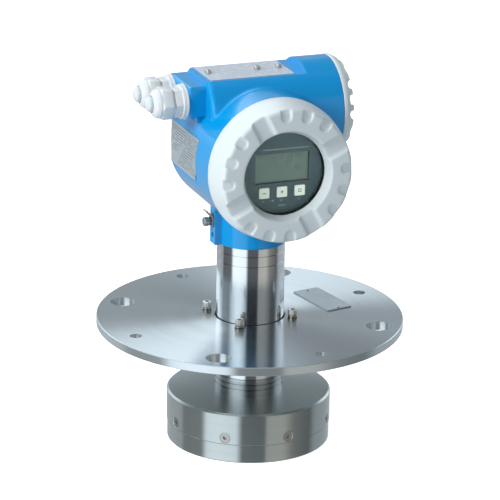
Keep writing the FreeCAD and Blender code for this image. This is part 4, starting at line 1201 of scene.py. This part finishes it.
@dataclass
class CapScrew:
    """A socket head screw with a knurled head, modelled once and copied."""

    head: float = 4.25
    height: float = 5.0
    socket: float = 2.31
    socket_depth: float = 2.6
    shank: float = 2.5
    shank_length: float = 12.0
    knurls: int = 30
    groove: float = 0.955
    top: float = 0.9
    chamfer: float = 0.45
    overlap: float = 0.6

    def build(self, name: str) -> Piece:
        """Model one screw with its seat at level 0 and its head above.

        Args:
            name: Name of the piece.

        Returns:
            The screw in millimetres.
        """
        head = disc(name, self.head, self.height, sides=self.knurls * 3)
        pitch = math.tau / (self.knurls * 3)

        def in_groove(spot: Vector) -> bool:
            """Tell whether a rim vertex lies in a groove of the knurl."""
            return round(math.atan2(spot.y, spot.x) / pitch) % 3 == 0 and spot.xy.length > 1

        def on_top(spot: Vector) -> bool:
            """Tell whether a spot lies on the head's face."""
            return spot.z > self.height - NUDGE

        middle = (0, 0, self.height / 2)
        with editing(head, in_groove):
            bpy.ops.transform.resize(value=(self.groove, self.groove, 1), center_override=middle)
        with editing(head, on_top, "FACE"):
            bpy.ops.mesh.extrude_region_move(TRANSFORM_OT_translate={"value": ORIGIN})
            bpy.ops.transform.resize(value=(self.top, self.top, 1), center_override=(0, 0, self.height))
        with editing(head, lambda spot: on_top(spot) and spot.xy.length > self.head * 0.93):
            bpy.ops.transform.translate(value=(0, 0, -self.chamfer))
        floor = self.height - self.socket_depth
        carve(head, disc("socket_tool", self.socket, self.socket_depth + 1, floor, 6))
        stem = disc("stem_tool", self.shank, self.shank_length + self.overlap, -self.shank_length, 32)
        return carve(head, stem, "UNION")


@dataclass
class SplitWasher:
    """A split spring washer of square wire, wound in one or two turns."""

    outer: float
    inner: float
    height: float
    turns: int = 1
    wound: float = 354.0
    steps: int = 44

    def build(self, name: str) -> Piece:
        """Wind one washer with its lower side at level 0.

        Args:
            name: Name of the piece.

        Returns:
            The washer in millimetres.
        """
        wire = self.height / (self.turns + 0.35)
        clear_bench()
        start = ((self.outer + self.inner) / 2, 0, wire / 2)
        bpy.ops.mesh.primitive_plane_add(size=1, location=start, rotation=(math.pi / 2, 0, 0))
        piece = newest(name)
        piece.scale = (self.outer - self.inner - 0.02, wire * 0.94, 1)
        settle(piece)
        with editing(piece):
            bpy.ops.mesh.bevel(offset=wire * 0.16, segments=2, affect="VERTICES")
        steps = self.steps * self.turns
        apply_modifier(
            piece, "SCREW", axis="Z", angle=math.radians(self.wound * self.turns), use_merge_vertices=False,
            screw_offset=self.height - wire, steps=steps, render_steps=steps,
        )
        with editing(piece):
            bpy.ops.mesh.remove_doubles(threshold=WELD)
            bpy.ops.mesh.select_all(action="DESELECT")
            bpy.ops.mesh.select_non_manifold(extend=False)
            bpy.ops.mesh.edge_face_add()
            bpy.ops.mesh.select_all(action="SELECT")
            bpy.ops.mesh.normals_make_consistent(inside=False)
        return piece


@dataclass
class FlangeStack:
    """The bolted plate, the ring that clamps it to the neck, its screws and its tag."""

    screw_circle: float = 40.0
    screw_seat: float = 120.4
    washer_seat: float = 118.0
    clocking: float = 56.0
    screws: int = 4
    own_clock: float = 17.0
    tag_centre: float = 79.0
    tag_clock: float = 11.0
    tag_size: tuple[float, float] = (27.0, 59.0)
    tag_level: float = 118.0
    screw: CapScrew = field(default_factory=CapScrew)
    washer: SplitWasher = field(default_factory=lambda: SplitWasher(4.4, 2.75, 2.4, turns=2))

    def build(self) -> None:
        """Model the screws and their spring washers, and dress the rest."""
        screws = repeated(self.screw.build("flange_cap_screws"), self._ring(self.screw_seat))
        washers = repeated(self.washer.build("flange_split_washers"), self._ring(self.washer_seat))
        ease_edges(screws, 0.12, 1)
        finish_piece(screws, "base", FINISHES.fastener, "flange_screws")
        finish_piece(washers, "base", FINISHES.washer, "flange_spring_washers")
        dress(FINISHES.flange, "flange_plate")
        dress(FINISHES.clamp, "clamp_ring")
        dress(FINISHES.flat_washer, "flange_washers")
        dress(FINISHES.rubber, "clamp_seal")
        dress(self._tag_print(), "flange_tag")
        dress(FINISHES.rivet, "tag_rivets")

    def _ring(self, level: float) -> list[Matrix]:
        """Work out the places round the screw circle.

        Args:
            level: Height of the seats.

        Returns:
            The move to each place.
        """
        moves = []
        for turn in range(self.screws):
            angle = math.radians(self.clocking + 360 / self.screws * turn)
            spot = (self.screw_circle * math.cos(angle), self.screw_circle * math.sin(angle), level)
            moves.append(placed(spot, clock=self.own_clock * turn))
        return moves

    def _tag_print(self) -> PrintedFoil:
        """Lay out the riveted tag's print, which runs across the plate's radius.

        Returns:
            The finish.
        """
        angle = math.radians(self.tag_clock)
        out = (math.cos(angle), math.sin(angle), 0.0)
        along = (-math.sin(angle), math.cos(angle), 0.0)
        centre = (self.tag_centre * out[0] * MM, self.tag_centre * out[1] * MM, self.tag_level * MM)
        return PrintedFoil(
            "riveted_tag_print", shade(176, 188, 192), shade(216, 222, 226), centre, along, out,
            self.tag_size[1] / 2 * MM, self.tag_size[0] / 2 * MM, rows=420.0, bars=300.0, ink_weight=0.4,
            metallic=0.7, roughness=0.34,
        )


@dataclass
class NeckTube:
    """The turned tube between antenna and housing, and the coaxial line in it."""

    def build(self) -> None:
        """Dress the tube and its inner line."""
        dress(FINISHES.tube, "neck_tube")
        dress(FINISHES.brass, "feed_line")


@dataclass
class Antenna:
    """The drum-shaped antenna with countersunk screws round its side."""

    radius: float = 75.0
    screw_level: float = 23.5
    screw_head: float = 4.8
    shank: float = 2.5
    shank_length: float = 12.0
    sink: float = 2.6
    inset: float = 0.3
    socket: float = 1.85
    socket_depth: float = 1.6
    clocking: float = 8.0
    screws: int = 8
    seam: tuple[float, float, float, float] = (66.0, 74.15, 17.05, 17.75)

    def build(self) -> None:
        """Model the screws and the seam's ring, and dress the drum, its window and what it holds."""
        outward = Matrix.Translation((self.radius - self.inset, 0, self.screw_level)) @ Seat.RIGHT.turn()
        angles = (math.radians(self.clocking + 360 / self.screws * turn) for turn in range(self.screws))
        screws = repeated(self._screw(), [Matrix.Rotation(angle, 4, "Z") @ outward for angle in angles])
        finish_piece(screws, "base", FINISHES.countersunk, "antenna_screws")
        dress(FINISHES.antenna, "antenna_housing", "antenna_base_ring")
        dress(FINISHES.antenna_window, "antenna_window")
        dress(FINISHES.board, "patch_board")
        dress(FINISHES.backing, "antenna_backing_plate")
        inner, outer, low, high = self.seam
        outline = [(inner, low), (outer, low), (outer, high), (inner, high), (inner, low)]
        seam = spun("antenna_seam_ring", outline, 160)
        finish_piece(seam, "base", FINISHES.seam_gasket, "antenna_seal")

    def _screw(self) -> Piece:
        """Model one countersunk screw, its face at level 0 and its shank below.

        Returns:
            The screw in millimetres.
        """
        screw = spun("antenna_socket_screws", [
            (0, -self.shank_length), (self.shank, -self.shank_length), (self.shank, -self.sink),
            (self.screw_head, -0.35), (self.screw_head, 0.0, 0.2), (self.screw_head - 0.6, 0.0), (0, 0.0),
        ], 40, 2)
        carve(screw, disc("socket_tool", self.socket, self.socket_depth + 1, -self.socket_depth, 6))
        return ease_edges(screw, 0.12, 1, 50)


# Head: casting with its plates, covers, display and glands


@dataclass
class Housing:
    """The blue casting, its two printed plates, plate screws and earth terminal."""

    top_level: float = 344.8
    plate_middle: tuple[float, float] = (-5.0, 12.0)
    plate_size: tuple[float, float] = (79.0, 46.0)
    screw_places: tuple[float, float, float] = (-39.0, 7.5, 28.0)
    screw_clock: float = 25.0
    plate_screw: CapScrew = field(default_factory=lambda: CapScrew(2.8, 3.2, 1.45, 1.6, 1.5, 3.6, 20))
    earth_level: float = 210.0
    earth_seat: float = 40.4
    earth_washer: SplitWasher = field(default_factory=lambda: SplitWasher(3.7, 2.75, 1.6))
    earth_head: tuple[float, float] = (4.2, 4.2)
    earth_shank: tuple[float, float] = (2.5, 12.0)
    earth_slot: Point = (10.0, 1.2, 1.6)

    def build(self) -> None:
        """Dress the casting and what it holds, and model the small metal on it."""
        dress(FINISHES.blue_paint, "housing_casting")
        dress(FINISHES.module, "electronics_module")
        dress(FINISHES.countersunk, "lock_screw")
        self._plates()
        self._earth_terminal()

    def _plates(self) -> None:
        """Dress the plate on the flat top and the one on the drum's side, and model the top's screws."""
        centre = (self.plate_middle[0] * MM, self.plate_middle[1] * MM, self.top_level * MM)
        dress(PrintedFoil(
            "top_plate_print", shade(202, 210, 220), shade(118, 126, 136), centre, (1, 0, 0), (0, 1, 0),
            self.plate_size[0] / 2 * MM, self.plate_size[1] / 2 * MM, rows=300.0, bars=260.0, ink_weight=0.4,
            metallic=0.35,
        ), "top_plate")
        low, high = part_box("side_plate")
        half = (high - low) / 2
        dress(PrintedFoil(
            "side_plate_print", shade(172, 182, 186), shade(74, 84, 94), tuple(low + half), (0, -1, 0),
            (0, 0, 1), half.y, half.z, rows=400.0, bars=330.0, ink_weight=0.75, metallic=0.35,
        ), "side_plate")
        screws = repeated(self.plate_screw.build("top_plate_cap_screws"), [
            placed((across, self.plate_middle[1], self.top_level), clock=self.screw_clock * turn)
            for turn, across in enumerate(self.screw_places)
        ])
        ease_edges(screws, 0.1, 1)
        finish_piece(screws, "head", FINISHES.fastener, "top_plate_screws")

    def _earth_terminal(self) -> None:
        """Model the slotted earth screw and its spring washer, and dress the clip."""
        washer = self.earth_washer.build("earth_split_washer")
        seat(washer, (-self.earth_seat, 0, self.earth_level), Seat.LEFT)
        finish_piece(washer, "head", FINISHES.washer, "earth_spring_washer")
        (head, top), (shank, length) = self.earth_head, self.earth_shank
        screw = spun("earth_slotted_screw", [
            (0, -length), (shank, -length, 0.3), (shank, 0), (head, 0, 0.25), (head, top, 0.7), (0, top),
        ], 48, 3)
        carve(screw, bar("slot_tool", self.earth_slot, (0, 0, top)))
        ease_edges(screw, 0.12, 1, 50)
        seat(screw, (-self.earth_seat - self.earth_washer.height, 0, self.earth_level), Seat.LEFT)
        finish_piece(screw, "head", FINISHES.fastener, "earth_screw")
        dress(FINISHES.earth_clip, "earth_clip")
        dress(FINISHES.earth_washer, "earth_washer")


@dataclass
class ScrewedCover:
    """A cast cover with wide channels and small finger scallops round its face."""

    stands_for: str
    outline: Outline
    height: float
    reach: float
    channel: tuple[float, float, float]
    scallop: tuple[float, float, float]
    at: Point
    way: Seat
    lean: float
    grain: float = 0.76
    passes: int = 6
    splay: float = 0.7
    clocking: float = 27.5
    scallop_pitch: float = 20.5
    headroom: float = 4.0

    def build(self) -> Piece:
        """Turn the cover, cut its grips and give it the soft edges of a casting.

        Returns:
            The finished cover.
        """
        cover = spun(f"{self.stands_for}_casting", self.outline, 160, 6)
        tools = []
        for quarter in range(4):
            angle = self.clocking + 90 * quarter
            tools.append(seat(self._channel_tool(), clock=angle))
            for step in (-1, 0, 1):
                tools.append(seat(self._scallop_tool(), clock=angle + 45 + step * self.scallop_pitch))
        carve(cover, joined(tools, "grip_tools"))
        round_as_cast(cover, self.grain, self.passes)
        seat(cover, self.at, self.way)
        return finish_piece(cover, self.stands_for, FINISHES.grey_paint, self.stands_for, 180)

    def _channel_tool(self) -> Piece:
        """Model the cutter of one wide channel, its floor edges rounded.

        Returns:
            The cutter in millimetres, lying along +X.
        """
        inner, width, depth = self.channel
        floor, thick = self.height - depth, depth + self.headroom
        length = self.reach - inner
        tool = bar("channel_tool", (length, width, thick), (inner + length / 2, 0, floor + thick / 2))
        wider = 1 + self.splay * thick * 2 / width
        with editing(tool, lambda spot: spot.z > self.height):
            bpy.ops.transform.resize(value=(1, wider, 1), center_override=(0, 0, self.height))
        with editing(tool, lambda spot: spot.z < floor + NUDGE and abs(spot.y) > width / 2 - NUDGE, "EDGE"):
            bpy.ops.mesh.bevel(offset=depth * 0.45, segments=4, affect="EDGES")
        return tool

    def _scallop_tool(self) -> Piece:
        """Model the cutter of one U-shaped scallop, open towards the rim, its floor sloping outwards.

        Returns:
            The cutter in millimetres, opening along +X.
        """
        centre, width, depth = self.scallop
        floor, length = self.height - depth, self.reach - centre
        tool = disc("scallop_tool", width / 2, depth + self.headroom, floor, 40)
        settle(tool, Matrix.Translation((centre, 0, 0)))
        with editing(tool, lambda spot: spot.x > centre + NUDGE):
            bpy.ops.transform.translate(value=(length, 0, 0))
        with editing(tool, lambda spot: spot.z < floor + NUDGE, "FACE"):
            bpy.ops.mesh.bevel(offset=depth * 0.3, segments=3, affect="EDGES")
        with editing(tool, lambda spot: spot.x > centre + 1 and spot.z < self.height):
            bpy.ops.transform.translate(value=(0, 0, -math.tan(math.radians(self.lean)) * length))
        return tool


@dataclass
class Covers:
    """The display cover with its window, the blind terminal cover and their seals."""

    drum_axis: float = 274.0
    drum_shoulder: float = 57.5
    barrel_shoulder: float = 75.4
    barrel_offset: float = 12.0
    barrel_axis: float = 308.0
    display_outline: Outline = (
        (60.55, 0), (64.5, 0, 0.8), (64.5, 8.0, 1.6), (60.5, 30.7, 3.2), (41.4, 30.7, 1.2),
        (37.15, 20.5, 0.5), (41.2, 20.5), (41.2, 15.0), (46.2, 15.0), (46.2, 22.5), (52.55, 22.5),
        (57.55, 14.5), (57.55, 3.4), (60.55, 3.4), (60.55, 0),
    )
    terminal_outline: Outline = (
        (33.0, -12.0), (36.0, -12.0), (36.0, 0), (44.5, 0, 0.6), (44.5, 3.5, 1.2), (40.0, 11.0, 2.2),
        (0, 11.0), (0, 6.6), (33.0, 6.6), (33.0, -12.0),
    )

    def build(self) -> None:
        """Build both covers and dress the glass, its ring and the seals."""
        ScrewedCover(
            "display_cover", self.display_outline, height=30.7, reach=72.0, channel=(36.0, 12.5, 3.4),
            scallop=(54.6, 9.6, 1.4), at=(0, -self.drum_shoulder, self.drum_axis), way=Seat.FRONT, lean=12.0,
        ).build()
        ScrewedCover(
            "terminal_cover", self.terminal_outline, height=11.0, reach=50.0, channel=(24.0, 8.0, 1.6),
            scallop=(35.0, 8.6, 1.8), at=(self.barrel_shoulder, self.barrel_offset, self.barrel_axis),
            way=Seat.RIGHT, lean=22.0, grain=0.6, passes=5, splay=0.8,
        ).build()
        dress(FINISHES.glass, "display_glass")
        dress(FINISHES.rubber, "glass_gasket", "display_cover_seal", "terminal_cover_seal")
        dress(FINISHES.fastener, "glass_ring")


@dataclass
class DisplayModule:
    """The dark display face with its screen, three keys and plain marks."""

    face: float = -72.2
    key_face: float = -72.8
    key_pitch: float = 16.8
    key_level: float = 256.0
    screen_level: float = 278.0
    screen_size: tuple[float, float] = (50.4, 26.8)
    mark_depth: float = 0.04
    line_bars: int = 17
    line_start: float = -17.5
    line_pitch: float = 2.55
    line_level: float = 295.4

    def build(self) -> None:
        """Dress the module's parts and lay the marks on them."""
        dress(FINISHES.bezel, "display_bezel")
        dress(FINISHES.holder, "display_holder")
        dress(FINISHES.board, "display_board")
        dress(FINISHES.fastener, "key_domes")
        width, height = (size * MM for size in self.screen_size)
        dress(LiquidCrystal(
            "screen_liquid_crystal", shade(88, 110, 100), shade(50, 68, 68),
            (0, self.face * MM, self.screen_level * MM), width / 2, height / 2,
        ), "screen_panel")
        dress(FINISHES.key, "key_left", "key_middle", "key_right")
        self._key_marks()
        self._face_marks()

    def _marks(self, name: str, face: float, bars: Sequence[tuple[float, float, float, float]]) -> Piece:
        """Lay thin printed bars on a face and join them.

        Args:
            name: Name of the piece.
            face: Where the face is, along Y.
            bars: Width, height, place across and place up of each bar.

        Returns:
            The marks in millimetres.
        """
        pieces = []
        depth = face - NUDGE
        for width, height, across, up in bars:
            mark = bar(name, (width, self.mark_depth, height), (across, depth, up))
            with editing(mark, lambda spot: abs(spot.y - depth) < 0.001, "EDGE"):
                bpy.ops.mesh.bevel(offset=min(width, height) * 0.2, segments=2, affect="EDGES")
            pieces.append(mark)
        return joined(pieces, name)

    def _key_marks(self) -> None:
        """Put a minus, a plus and a small square on the three keys."""
        long, thin, side, line, off = 3.0, 0.7, 2.6, 0.6, 1.2
        signs = {
            "key_left": [(long, thin, 0, 0)],
            "key_middle": [(long, thin, 0, 0), (thin, long, 0, 0)],
            "key_right": [
                (side, line, 0, off), (side, line, 0, -off), (line, side, -off, 0), (line, side, off, 0),
            ],
        }
        for index, (key, sign) in enumerate(signs.items()):
            middle, level = (index - 1) * self.key_pitch, self.key_level
            bars = [(width, height, middle + across, level + up) for width, height, across, up in sign]
            marks = self._marks(f"{key}_mark", self.key_face, bars)
            finish_piece(marks, key, FINISHES.key_mark)

    def _face_marks(self) -> None:
        """Lay the light line over the screen and the small marks under the keys."""
        bars = [
            (1.5 + index % 3 * 0.5, 1.1, self.line_start + index * self.line_pitch, self.line_level)
            for index in range(self.line_bars)
        ]
        bars += [(1.8, 1.0, (index - 1) * self.key_pitch - 0.6, 248.3) for index in range(3)]
        bars += [(2.0, 1.2, -8.6, 248.6), (7.0, 0.7, 0.0, 243.6)]
        marks = self._marks("face_marks", self.face, bars)
        finish_piece(marks, "head", FINISHES.print_mark)


@dataclass
class CableGland:
    """One polyamide gland: gasket, hexagon body, clamping nut, rubber insert and plug."""

    side: str
    along: float
    face: float = -66.0
    level: float = 324.2
    nut_seat: float = 13.2
    bore: float = 7.5

    def build(self) -> None:
        """Model the gasket, body and nut, and dress the insert and plug."""
        self._finish(self._gasket(), "head", "gasket", 32)
        self._finish(self._hexagon_body(), "head", "body", 40)
        self._finish(self._nut(), f"{self.side}_gland_nut", "nut", 40, self.nut_seat)
        dress(FINISHES.grip_rubber, f"{self.side}_gland_insert")
        dress(FINISHES.plug, f"{self.side}_gland_plug")

    def _finish(self, piece: Piece, body: str, part: str, crease: float, depth: float = 0.0) -> None:
        """Put a piece on the gland's axis and finish it.

        Args:
            piece: The piece in millimetres.
            body: The moving body it rides on.
            part: The part of the gland that it stands for.
            crease: Angle in degrees past which an edge stays sharp.
            depth: How far out from the block its origin goes.
        """
        seat(piece, (self.face - depth, self.along, self.level), Seat.LEFT)
        finish_piece(piece, body, FINISHES.gland, f"{self.side}_gland_{part}", crease)

    def _hexagon(self, name: str, flats: float, low: float, high: float, chamfer: float) -> Piece:
        """Model a hexagon whose corners are turned off at both ends.

        Args:
            name: Name of the piece.
            flats: Size across flats.
            low: Lower level.
            high: Upper level.
            chamfer: Height of the turned corners.

        Returns:
            The hexagon in millimetres.
        """
        corner = flats / math.sqrt(3)
        piece = disc(name, corner, high - low, low, 6)
        with editing(piece, lambda spot: low + 0.1 < spot.z < high - 0.1, "EDGE"):
            bpy.ops.mesh.bevel(offset=0.9, segments=3, affect="EDGES")
        narrow, wide = flats / 2 + 0.2, corner + 0.4
        turned = spun("corner_tool", [
            (0, low), (narrow, low), (wide, low + chamfer), (wide, high - chamfer), (narrow, high), (0, high),
        ])
        return carve(piece, turned, "INTERSECT")

    def _gasket(self) -> Piece:
        """Model the sealing ring against the block.

        Returns:
            The ring in millimetres.
        """
        return spun(f"{self.side}_gland_sealing_ring", [
            (10.05, 0), (16.0, 0, 0.2), (16.0, 1.8, 0.5), (10.05, 1.8), (10.05, 0),
        ], 96, 3)

    def _hexagon_body(self) -> Piece:
        """Model the body: thread, hexagon and clamping barrel, bored through.

        Returns:
            The body in millimetres.
        """
        body = self._hexagon(f"{self.side}_gland_hex_body", 25.0, 4.0, 11.5, 1.1)
        core = spun("core_tool", [
            (0, -12.0), (9.4, -12.0), (10.0, -11.4), (10.0, 1.8), (15.5, 1.8, 0.4), (15.5, 4.8, 0.8),
            (12.2, 4.8, 0.4), (11.0, 11.0), (12.0, 11.0), (12.0, 21.6, 0.4), (11.4, 22.2), (0, 22.2),
        ])
        carve(body, core, "UNION")
        carve(body, disc("bore_tool", self.bore, 40, -14, 48))
        return ease_edges(body, 0.2, 2, 40)

    def _nut(self) -> Piece:
        """Model the clamping nut with its round shoulder and mouth.

        Returns:
            The nut in millimetres.
        """
        nut = self._hexagon(f"{self.side}_gland_clamp_nut", 27.0, 0.0, 10.4, 1.3)
        dome = spun("dome_tool", [
            (0, 3.0), (13.4, 3.0), (13.4, 12.2, 2.0), (12.0, 15.2, 3.0), (8.6, 17.5, 1.0), (0, 17.5),
        ])
        carve(nut, dome, "UNION")
        hollow = spun("hollow_tool", [
            (0, -1.0), (12.05, -1.0), (12.05, 10.4), (11.0, 13.6), (7.6, 15.5), (7.6, 19.0), (0, 19.0),
        ])
        carve(nut, hollow)
        return ease_edges(nut, 0.25, 2, 40)


@dataclass
class TerminalRoom:
    """What lies behind the terminal cover."""

    def build(self) -> None:
        """Dress the terminal block and its screws."""
        dress(FINISHES.terminal, "terminal_block")
        dress(FINISHES.brass, "terminal_screws")


# Studio

Bands = Sequence[tuple[float, float, Point]]

# Tints of the screens, and their stops round the instrument: degrees to the right of
# the camera's side, strength and tint, for rays that go down, level and up.
COOL, WARM, PALE = (0.80, 0.86, 0.92), (0.98, 0.95, 0.89), (0.86, 0.93, 1.0)
LOW_SCREENS: Bands = (
    (-180, 0.6, COOL), (-125, 0.56, COOL), (-108, 0.5, COOL), (-103, 0.16, COOL), (-68, 0.2, COOL),
    (-60, 1.5, PALE), (-40, 1.55, PALE), (-16, 1.45, PALE), (-8, 0.15, COOL), (24, 0.15, COOL),
    (28, 0.58, WARM), (52, 0.62, WARM), (68, 0.28, WARM), (97, 0.16, COOL), (110, 0.56, COOL),
    (180, 0.7, COOL),
)
MIDDLE_SCREENS: Bands = (
    (-180, 0.45, COOL), (-165, 0.6, COOL), (-148, 1.7, COOL), (-128, 1.5, COOL), (-112, 0.8, COOL),
    (-104, 0.05, COOL), (-77, 0.03, COOL), (-66, 1.3, PALE), (-48, 2.8, PALE), (-30, 2.8, PALE),
    (-18, 1.6, PALE), (-8, 0.0, COOL), (22, 0.0, COOL), (30, 0.72, WARM), (50, 0.68, WARM),
    (66, 0.34, WARM), (76, 0.06, WARM), (92, 0.08, COOL), (106, 1.3, COOL), (125, 2.0, COOL),
    (150, 2.0, COOL), (166, 0.6, COOL), (180, 0.45, COOL),
)
HIGH_SCREENS: Bands = (
    (-180, 2.6, PALE), (-172, 3.0, PALE), (-140, 3.0, PALE), (-120, 1.3, PALE), (-60, 0.9, PALE),
    (-22, 0.6, COOL), (-8, 0.08, COOL), (22, 0.08, COOL), (32, 0.3, COOL), (60, 0.3, COOL),
    (130, 0.22, COOL), (165, 0.26, COOL), (176, 0.3, COOL), (180, 2.6, PALE),
)


@dataclass(frozen=True)
class Lamp:
    """A soft square lamp that looks at the instrument and shows in no mirror.

    Its way is in degrees to the right of the camera's side, its lift in degrees above
    the floor, its reach and width in metres and its power in watts.
    """

    name: str
    way: float
    lift: float
    reach: float
    width: float
    power: float
    target: Point = (0.0, 0.0, 0.2)

    def hang(self, front: Vector) -> None:
        """Hang the lamp.

        Args:
            front: The level direction to the camera's side.
        """
        lift, target = math.radians(self.lift), Vector(self.target)
        aside = Matrix.Rotation(math.radians(self.way), 4, "Z") @ front
        arm = aside * (self.reach * math.cos(lift)) + Vector((0, 0, self.reach * math.sin(lift)))
        light = bpy.data.lights.new(self.name, "AREA")
        light.shape, light.size, light.energy = "SQUARE", self.width, self.power
        lamp = bpy.data.objects.new(self.name, light)
        lamp.location = target + arm
        lamp.rotation_euler = arm.to_track_quat("Z", "Y").to_euler()
        lamp.visible_glossy = False
        bpy.context.scene.collection.objects.link(lamp)


@dataclass
class Studio:
    """Pale floor, soft lamps, the surroundings that the steel mirrors, and the camera."""

    azimuth: float = -21.2
    elevation: float = 18.66
    roll: float = 1.02
    distance: float = 3.0
    aim: Point = (-0.00075, 0.0, 0.1784)
    lens: float = 238.2
    clip: tuple[float, float] = (0.05, 60.0)
    floor_size: float = 14.0
    floor_level: float = -0.0002
    floor_glow: float = 0.84
    lamps: tuple[Lamp, ...] = (
        Lamp("key_lamp", -56, 32, 2.4, 1.1, 51),
        Lamp("fill_lamp", 10, 20, 2.6, 1.8, 4),
        Lamp("top_lamp", 175, 62, 2.4, 1.8, 13),
    )
    soft_below: Colour = (0.86, 0.93, 0.95, 1.0)
    soft_above: Colour = (0.31, 0.34, 0.36, 1.0)
    soft_right: float = 0.5
    zenith: Colour = (0.9, 0.96, 1.0, 1.0)

    def build(self) -> None:
        """Set up floor, lamps, surroundings and camera."""
        turn, lift = math.radians(self.azimuth), math.radians(self.elevation)
        front = Vector((math.sin(turn), -math.cos(turn), 0))
        right = Vector((math.cos(turn), math.sin(turn), 0))
        self._floor()
        for lamp in self.lamps:
            lamp.hang(front)
        self._surroundings(right, front)
        self._camera(right, front * math.cos(lift) + Vector((0, 0, math.sin(lift))))
        bpy.context.scene.view_settings.view_transform = "Standard"
        bpy.context.scene.view_settings.look = "None"

    def _floor(self) -> None:
        """Lay the pale floor that the instrument stands on."""
        clear_bench()
        bpy.ops.mesh.primitive_plane_add(size=self.floor_size, location=(0, 0, self.floor_level))
        floor = newest("studio_floor")
        skin = Surface("pale_floor", (0.86, 0.87, 0.88, 1.0), 0.85, Clouds(3.0, 0.02, 0.05))
        floor.data.materials.append(skin.wear(Emission_Color=WHITE, Emission_Strength=self.floor_glow))
        floor.visible_glossy = False
        floor.visible_diffuse = False

    def _surroundings(self, right: Vector, front: Vector) -> None:
        """Make the world: even for soft light, banded like studio screens for the steel.

        Args:
            right: The direction to the camera's right.
            front: The level direction to the camera's side.
        """
        world = bpy.data.worlds.new("studio_surroundings")
        bpy.context.scene.world = world
        world.use_nodes = True
        world.node_tree.nodes.clear()
        graph = Graph(world.node_tree)
        direction = graph.add("ShaderNodeTexCoord").outputs["Generated"]
        level = graph.split(direction)[2]
        across, towards = graph.along(direction, tuple(right)), graph.along(direction, tuple(front))
        share = graph.scaled_by(graph.maths("ARCTAN2", across, towards), 0.5 / math.pi, 0.5)
        low, middle, high = (
            self._screens(graph, share, bands) for bands in (LOW_SCREENS, MIDDLE_SCREENS, HIGH_SCREENS))
        lower = graph.blend(graph.between(level, -0.05, 0.22), low, middle)
        upper = graph.blend(graph.between(level, 0.36, 0.55), lower, high)
        mirrored = graph.blend(graph.between(level, 0.9, 0.995), upper, self.zenith)
        soft = graph.blend(graph.between(level, -0.5, 0.6), self.soft_below, self.soft_above)
        shaded = graph.toned(soft, graph.between(across, 0.3, 1.0, 1.0, self.soft_right))
        path = graph.add("ShaderNodeLightPath").outputs
        unseen = graph.blend(path["Is Glossy Ray"], shaded, mirrored)
        seen = graph.blend(path["Is Camera Ray"], unseen, WHITE)
        background = graph.fill(graph.add("ShaderNodeBackground"), Color=seen)
        graph.fill(graph.add("ShaderNodeOutputWorld"), Surface=background.outputs[0])

    def _screens(self, graph: Graph, share: Socket, bands: Bands) -> Socket:
        """Stand bright and dark screens round the instrument.

        Args:
            graph: The world's graph.
            share: Direction round the instrument, from 0 to 1.
            bands: Degrees, strength and tint of each stop.

        Returns:
            The colour in that direction.
        """
        ramp = graph.add("ShaderNodeValToRGB")
        ramp.color_ramp.interpolation = "LINEAR"
        stops = ramp.color_ramp.elements
        while len(stops) < len(bands):
            stops.new(0.5)
        for stop, (degrees, strength, tint) in zip(stops, bands):
            stop.position = degrees / 360 + 0.5
            stop.color = (*(strength * part for part in tint), 1.0)
        return graph.fill(ramp, Fac=share).outputs[0]

    def _camera(self, right: Vector, back: Vector) -> None:
        """Place the camera where the photograph was taken from.

        Args:
            right: The direction to the camera's right.
            back: The direction from the instrument to the camera.
        """
        data = bpy.data.cameras.new("view_camera")
        data.lens, data.sensor_width = self.lens, 36
        data.clip_start, data.clip_end = self.clip
        camera = bpy.data.objects.new("view_camera", data)
        level = Matrix((right, back.cross(right), back)).transposed().to_4x4()
        spot = right * self.aim[0] + Vector((0, 0, self.aim[2])) + back * self.distance
        rolled = Matrix.Rotation(math.radians(self.roll), 4, "Z")
        camera.matrix_world = Matrix.Translation(spot) @ level @ rolled
        bpy.context.scene.collection.objects.link(camera)
        bpy.context.scene.camera = camera


def main() -> None:
    """Build every sub-assembly in order and report it."""
    clear_bench()
    assemblies = [
        FlangeStack(), NeckTube(), Antenna(), Housing(), Covers(), DisplayModule(),
        CableGland("front", 0.7), CableGland("rear", 33.7), TerminalRoom(), Studio(),
    ]
    for assembly in assemblies:
        LOG.info("building %s", type(assembly).__name__)
        assembly.build()
    clear_bench()


if __name__ == "__main__":
    logging.basicConfig(level=logging.INFO)
    main()
